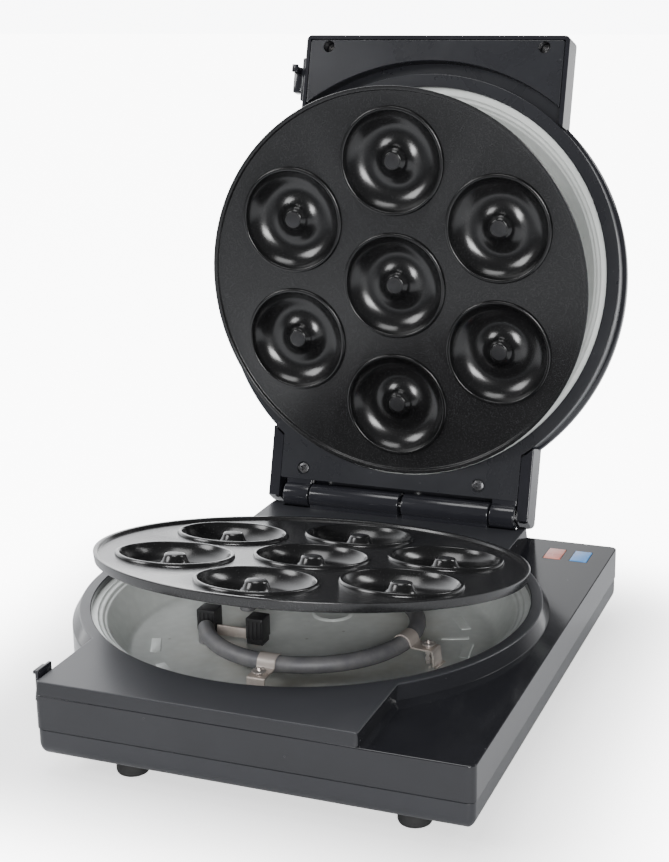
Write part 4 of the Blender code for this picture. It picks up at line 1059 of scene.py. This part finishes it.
def mould_profile(post_drop):
    """Radius and depth below the lip, from the post's middle out to the bead and back beneath."""
    post = softened([(0, post_drop), (4.35 * mm, post_drop), (5.0 * mm, post_drop + 0.7 * mm),
                     (6.0 * mm, 3.9 * mm)], 0.3 * mm, 3)
    channel = flowing(in_mm((6.0, 3.9), (7.6, 5.7), (10.2, 7.3), (13.9, 8.2), (17.8, 7.6), (21.4, 5.6),
                            (23.9, 2.9), (25.0, 0.9)), 4)
    bead = softened(in_mm((25.0, 0.9), (25.3, 0.2), (26.7, 0.2), (27.2, 1.5), (27.2, 3.7)),
                    0.45 * mm, 3)
    beneath = flowing(in_mm((27.2, 3.7), (25.6, 5.4), (22.0, 7.8), (17.0, 9.1), (12.6, 9.4)), 4)
    return [tuple(p) for p in post[:-1] + channel + bead[1:] + beneath[1:]] + [(0, 9.4 * mm)]


print("mould profile points", len(mould_profile(0.75 * mm)))


# %% The two plates
def mould_shell(lip, post_drop, up, centre):
    """One ring mould as a closed turned shell."""
    return turned([(r, lip - up * d) for r, d in mould_profile(post_drop)], 96, centre)


def plate(name, lip, skirt, post_drop, up, body, replaces):
    """A finished baking plate with seven moulds."""
    outer, lower_rim = 99.5 * mm, 98.7 * mm
    under = min(4.0 * mm, skirt)
    chain = [(0, 1.6 * mm), (97.0 * mm, 1.6 * mm), (97.5 * mm, 0.12 * mm), (99.4 * mm, 0.0), (outer, 0.5 * mm),
             (lower_rim, skirt), (96.9 * mm, skirt), (96.5 * mm, under - 0.3 * mm), (0, under - 0.3 * mm)]
    disc = blank(name, turned([(r, lip - up * d) for r, d in softened(chain, 0.32 * mm, 3)], 320))
    holes = [rod(26.6 * mm, (x, y, lip - up * 12 * mm), (x, y, lip + up * 5 * mm), 96) for x, y in mould_spots]
    carve(disc, "DIFFERENCE", *holes)
    settle(disc, body, coat_flat, replaces, sharp=34)
    rings = blank(name + "_moulds", mould_shell(lip, post_drop, up, mould_spots[0]))
    add_shapes(rings, *[mould_shell(lip, post_drop, up, spot) for spot in mould_spots[1:]])
    settle(rings, body, coat_well, sharp=60)
    caps = [turned(softened(in_mm((0, 0.12), (3.7, 0.10), (4.0, -0.2), (0, -0.2)), 0.1 * mm, 2), 48, spot)
            for spot in mould_spots]
    for cap in caps:
        for vert in cap.verts:
            vert.co.z = lip - up * (post_drop - vert.co.z)
        bmesh.ops.recalc_face_normals(cap, faces=cap.faces)
    tops = blank(name + "_post_tops", caps[0])
    add_shapes(tops, *caps[1:])
    settle(tops, body, post_metal, sharp=40)


plate("lower_plate_disc", lower_lip, 4.4 * mm, 0.75 * mm, 1, "lower_plate", "lower_baking_plate")
plate("upper_plate_disc", upper_lip, 3.3 * mm, 2.45 * mm, -1, "upper_plate", "upper_baking_plate")
print("plates done")

# %% [markdown]
# ## The lid
#
# The lid is two mouldings. The cover is a shallow dish with a square block at each end, one
# for the grip and one for the hinge. The inner frame closes it: a flat ring round the plate,
# a raised face on each block, and a deep groove between ring and grip. It is all drawn
# shut, face down, and carried open by the lid's matrix.

# %% Outlines of the lid
lid_half, lid_front, lid_back = 71.5 * mm, 127.5 * mm, 123 * mm
setback = 9 * mm
rim_z = face_z + setback


def round_ended(flat, half, radius, corner=0.0, inset=0.0, steps=64):
    """A block of the lid seen from above, ending on a round edge about the plate axis."""
    side = 1 if flat > 0 else -1
    flat, half, radius = flat - side * inset, half - inset, radius + inset * (radius > 110 * mm)
    meet = math.degrees(math.asin(half / radius))
    centre = 90 * side
    c = max(corner - inset, 0.05 * mm)
    if side < 0:
        square = arc(c, 180, 270, 4, (-half + c, flat + c)) + arc(c, -90, 0, 4, (half - c, flat + c))
        return square + arc(radius, centre + meet, centre - meet, steps)
    square = arc(c, 0, 90, 4, (half - c, flat - c)) + arc(c, 90, 180, 4, (-half + c, flat - c))
    return square + arc(radius, centre + meet, centre - meet, steps)


# %% Lid cover
crown = lid_top + 10 * mm
rim_r = ring_foot
outside = [(0, rim_z), (rim_r, rim_z), (rim_r, rim_z + 6 * mm), (rim_r - 1 * mm, lid_top + 0.5 * mm),
           (rim_r - 6 * mm, lid_top + 4 * mm), (rim_r - 19 * mm, crown - 0.5 * mm), (0, crown)]
dish = turned(softened(outside, 4 * mm, 6), 256)
cover = blank("lid_cover_moulding", dish)
upper_block = moulded(lambda inset: box_outline(-lid_front, lid_back, lid_half, 2.6 * mm, inset),
                      rim_z + 0.1 * mm, lid_top, 2.5 * mm)
ends = [moulded(lambda inset: round_ended(flat, lid_half, rim_r - 0.6 * mm, 2.6 * mm, inset), face_z,
                rim_z + 0.4 * mm, low_round=0.5 * mm) for flat in (-lid_front, lid_back)]
carve(cover, "UNION", upper_block, *ends)
inside_r, under_face = rim_r - 2.0 * mm, face_z - 1 * mm
inside = [(0, under_face), (inside_r, under_face), (inside_r, rim_z + 6 * mm),
          (inside_r - 6 * mm, lid_top + 1.5 * mm), (rim_r - 21 * mm, crown - 2.7 * mm), (0, crown - 2.2 * mm)]
carve(cover, "DIFFERENCE", turned(inside, 256),
      block((-69.3 * mm, -lid_front + 2.2 * mm, under_face), (69.3 * mm, -40 * mm, lid_top - 2.2 * mm)),
      block((-65.5 * mm, 40 * mm, under_face), (65.5 * mm, lid_back - 2.2 * mm, lid_top - 2.2 * mm)),
      block((-65.5 * mm, 108.6 * mm, under_face), (65.5 * mm, lid_back + 1 * mm, face_z + 11 * mm)))
heel = sheet([(lid_back - 5 * mm, face_z - 1 * mm), (lid_back + 2 * mm, face_z - 1 * mm),
              (lid_back + 2 * mm, face_z + 11.3 * mm), (lid_back, face_z + 11.3 * mm)], -80 * mm, 80 * mm)
bmesh.ops.transform(heel, matrix=Matrix(((0, 0, 1, 0), (1, 0, 0, 0), (0, 1, 0, 0), (0, 0, 0, 1))),
                    verts=heel.verts)
bmesh.ops.recalc_face_normals(heel, faces=heel.faces)
carve(cover, "DIFFERENCE", heel)
settle(cover, "lid", gloss_black, "lid_outer_cover", flats=True, sharp=32)
print("cover faces", len(cover.data.polygons))

# %% Lid inner frame
web = rim_z + 2.3 * mm
frame_rim = rim_z - gap
flange_under = upper_flange - gap
frame_wall = pan_edge + 0.9 * mm
seat = rim_r - 2.3 * mm
start = (104 * mm, face_z)
ring_chain = softened([start, (107.4 * mm, face_z), (107.4 * mm, frame_rim), (seat, frame_rim), (seat, web),
                       (frame_wall, web), (frame_wall, flange_under), (100.8 * mm, flange_under),
                       (100.8 * mm, face_z), start], 0.4 * mm, 4)
inner_frame = blank("lid_inner_moulding", turned(ring_chain[:-1], 256, ring=True))
grip_front = lid_front - 2.5 * mm
carve(inner_frame, "UNION",
      sheet(round_ended(-grip_front, 69 * mm, frame_wall + 0.5 * mm, 1 * mm), frame_rim - 0.6 * mm,
            web - 0.2 * mm),
      moulded(lambda inset: round_ended(-grip_front, 69 * mm, 114.3 * mm, 1.4 * mm, inset), face_z, frame_rim,
              low_round=0.4 * mm))
chamfer = turned([(111.3 * mm, face_z - 1 * mm), (115.3 * mm, face_z - 1 * mm), (111.3 * mm, face_z + 3 * mm)],
                 256, ring=True)
carve(inner_frame, "DIFFERENCE", chamfer)
carve(inner_frame, "UNION",
      sheet(round_ended(108.6 * mm, 65.2 * mm, frame_wall + 0.5 * mm, 1 * mm), face_z, web - 0.2 * mm))
pockets = []
for i, deep in ((1, 6.0), (2, 6.0), (3, 0.2), (4, 0.2)):
    spot = node_centre(f"lid_screw_{i}", "lid").xy
    width = 3.1 * mm if deep > 1 else 3.5 * mm
    pockets.append(rod(width, (*spot, face_z - 1 * mm), (*spot, face_z + deep * mm + 1.6 * mm), 48))
    pockets.append(rod(1.8 * mm, (*spot, face_z), (*spot, web + 1 * mm), 24))
carve(inner_frame, "DIFFERENCE", *pockets)
settle(inner_frame, "lid", frame_black, "lid_inner_frame", flats=True, sharp=32)
for index, (low, high) in enumerate((knuckles[0], knuckles[3]), 1):
    part = blank(f"lid_knuckle_{index}", knuckle(low, high))
    add_shapes(part, block((low, 106.6 * mm, face_z + 0.5 * mm), (high, hinge_y, face_z + 5 * mm), 0.4 * mm))
    settle(part, "lid", gloss_black)
print("inner frame done")

# %% [markdown]
# ## The latch
#
# A thumb slide runs in a guide on the lid's left wall. When the lid is shut and the slide is
# pushed forward, its toe goes under a ledge on the base. The three pieces are small softened
# blocks with grip ribs on the thumb pad.

# %% Latch pieces
lid_wall = -lid_half - gap
guide = block((lid_wall - 2.4 * mm, -116 * mm, face_z + 3 * mm), (lid_wall, -93 * mm, face_z + 14 * mm), 0.8 * mm)
settle(blank("latch_guide_plate", guide), "lid", frame_black, "latch_guide")
pad_x = lid_wall - 2.7 * mm
pad_y = -111.3 * mm
thumb = blank("latch_thumb_slide", block((pad_x - 5.2 * mm, pad_y, face_z + 5 * mm),
                                         (pad_x, pad_y + 13.6 * mm, face_z + 12 * mm), 0.9 * mm))
groove_spots = [(pad_x - 5.3 * mm, pad_y + (2.6 + 1.7 * i) * mm) for i in range(6)]
carve(thumb, "DIFFERENCE", *[rod(0.45 * mm, (*spot, face_z + 5.8 * mm), (*spot, face_z + 11.2 * mm), 16)
                             for spot in groove_spots])
catch_top = face_z - 0.8 * mm
toe_top = catch_top - 1.6 * mm - gap
arm_x = -deck_half - gap - 3.2 * mm - 2 * gap
toe_low = toe_top - 2 * mm
add_shapes(thumb, block((arm_x - 1.8 * mm, pad_y + 0.4 * mm, toe_low),
                        (arm_x, pad_y + 4.4 * mm, face_z + 8 * mm), 0.3 * mm),
           block((arm_x - 0.9 * mm, pad_y + 0.4 * mm, toe_low),
                 (arm_x + 1.4 * mm, pad_y + 4.4 * mm, toe_top), 0.3 * mm))
settle(thumb, "latch", gloss_black, "latch_slide")
catch_x = -deck_half - gap
catch = blank("latch_catch_plate", block((catch_x - 1.6 * mm, -121 * mm, strip_z - 8 * mm),
                                         (catch_x, -110 * mm, catch_top), 0.4 * mm))
add_shapes(catch, block((catch_x - 2.6 * mm, -121 * mm, catch_top - 1.6 * mm),
                        (catch_x - 0.8 * mm, -113.2 * mm, catch_top), 0.4 * mm))
settle(catch, "base", gloss_black, "latch_catch")
print("pieces made:", len(made))

# %% [markdown]
# ## Floor, light and room
#
# Glossy black shows nothing but what it mirrors, so the light is made of large soft panels
# placed where the surfaces look. The floor is pale, with a painted shadow pool round the base, and the room is a
# soft white.

# %% Floor
floor_bm = bmesh.new()
bmesh.ops.create_grid(floor_bm, x_segments=1, y_segments=1, size=6.0)
floor = blank("floor", floor_bm)
floor_material = bpy.data.materials.new("pale_floor")
floor_material.use_nodes = True
floor_tree = floor_material.node_tree
paper = floor_tree.nodes["Principled BSDF"]
paper.inputs["Roughness"].default_value = 0.6
paper.inputs["Specular IOR Level"].default_value = 0.2
ground = floor_tree.nodes.new("ShaderNodeTexCoord").outputs["Object"]
away = ground
for operation, other in (("SUBTRACT", (0.0, -0.04, 0.0)), ("ABSOLUTE", (0.0, 0.0, 0.0)),
                         ("SUBTRACT", (0.10, 0.11, 0.0)), ("MAXIMUM", (0.0, 0.0, 0.0))):
    away = add(floor_tree, "ShaderNodeVectorMath", {"operation": operation}, i0=away, i1=other).outputs[0]
away = add(floor_tree, "ShaderNodeVectorMath", {"operation": "LENGTH"}, i0=away).outputs[1]
seen = floor_tree.nodes.new("ShaderNodeLightPath").outputs["Is Camera Ray"]
# Painted shadow: for the camera the floor's glow is turned down near the base's footprint, so a soft grey pool
# reads as its shadow. The real contact shadow also shows through it there.
floor_shadow_pool = ranged(floor_tree, away, 0.0, 0.13, 1.2, 9.0)
floor_tree.nodes[-1].interpolation_type = "SMOOTHERSTEP"
spread = add(floor_tree, "ShaderNodeSeparateXYZ", Vector=ground)
far_back = ranged(floor_tree, spread.outputs[1], 0.25, 0.9, 0.0, 4.5)
mirrored = times(floor_tree, far_back, ranged(floor_tree, spread.outputs[0], 0.2, -0.5, 0.3, 1.0))
glow = add(floor_tree, "ShaderNodeMix", {"data_type": "FLOAT"}, i0=seen, i2=mirrored, i3=floor_shadow_pool)
floor_tree.links.new(glow.outputs[0], paper.inputs["Emission Strength"])
paper.inputs["Emission Color"].default_value = (1, 1, 1, 1)
near = ranged(floor_tree, spread.outputs[1], -0.60, -0.30)
tone = blend_colour(floor_tree, near, (0.22, 0.225, 0.235, 1), (0.80, 0.81, 0.83, 1))
floor_tree.links.new(blend_colour(floor_tree, seen, tone, (0.93, 0.93, 0.94, 1)), paper.inputs["Base Color"])
floor.data.materials.append(floor_material)
floor.location.z = -0.0005

# %% A white room that glossy black can still mirror
world = bpy.data.worlds.new("room")
bpy.context.scene.world = world
world.use_nodes = True
room = world.node_tree
background = room.nodes["Background"]
way = add(room, "ShaderNodeSeparateXYZ", Vector=room.nodes.new("ShaderNodeTexCoord").outputs["Generated"])
leftward = ranged(room, way.outputs[0], 0.0, -0.60)
behind = ranged(room, way.outputs[1], -0.1, 0.4)
screen = times(room, times(room, leftward, behind), 3.2)
low_down = ranged(room, way.outputs[2], 0.20, 0.02, 0.0, 1.1)
band = times(room, low_down, behind)
glow = math_node(room, "MAXIMUM", screen, band)
level = plus(room, glow, 0.20)
looked_at = room.nodes.new("ShaderNodeLightPath").outputs["Is Camera Ray"]
strength = add(room, "ShaderNodeMix", {"data_type": "FLOAT"}, i0=looked_at, i2=level, i3=9.0)
room.links.new(strength.outputs[0], background.inputs["Strength"])
background.inputs["Color"].default_value = (0.97, 0.98, 1.0, 1)


def soft_panel(name, at, towards, width, height, power):
    """A rectangular light aimed at a point."""
    light = bpy.data.lights.new(name, "AREA")
    light.shape = "RECTANGLE"
    light.size, light.size_y = width, height
    light.energy = power
    lamp = added(name, light)
    lamp.location = at
    lamp.rotation_euler = (Vector(towards) - Vector(at)).to_track_quat("-Z", "Y").to_euler()
    return lamp


soft_panel("key_panel", (-1.15, -0.85, 0.95), (0, 0, 0.12), 0.7, 0.6, 15)
soft_panel("front_panel", (0.50, -1.30, 0.44), (0, -0.05, 0.03), 0.6, 0.4, 20)
soft_panel("top_panel", (-0.1, 0.0, 1.5), (0, 0, 0.1), 0.9, 0.7, 12)
soft_panel("rim_panel", (0.95, 0.85, 1.0), (0, 0, 0.15), 0.3, 0.6, 7)
print("lights ready")
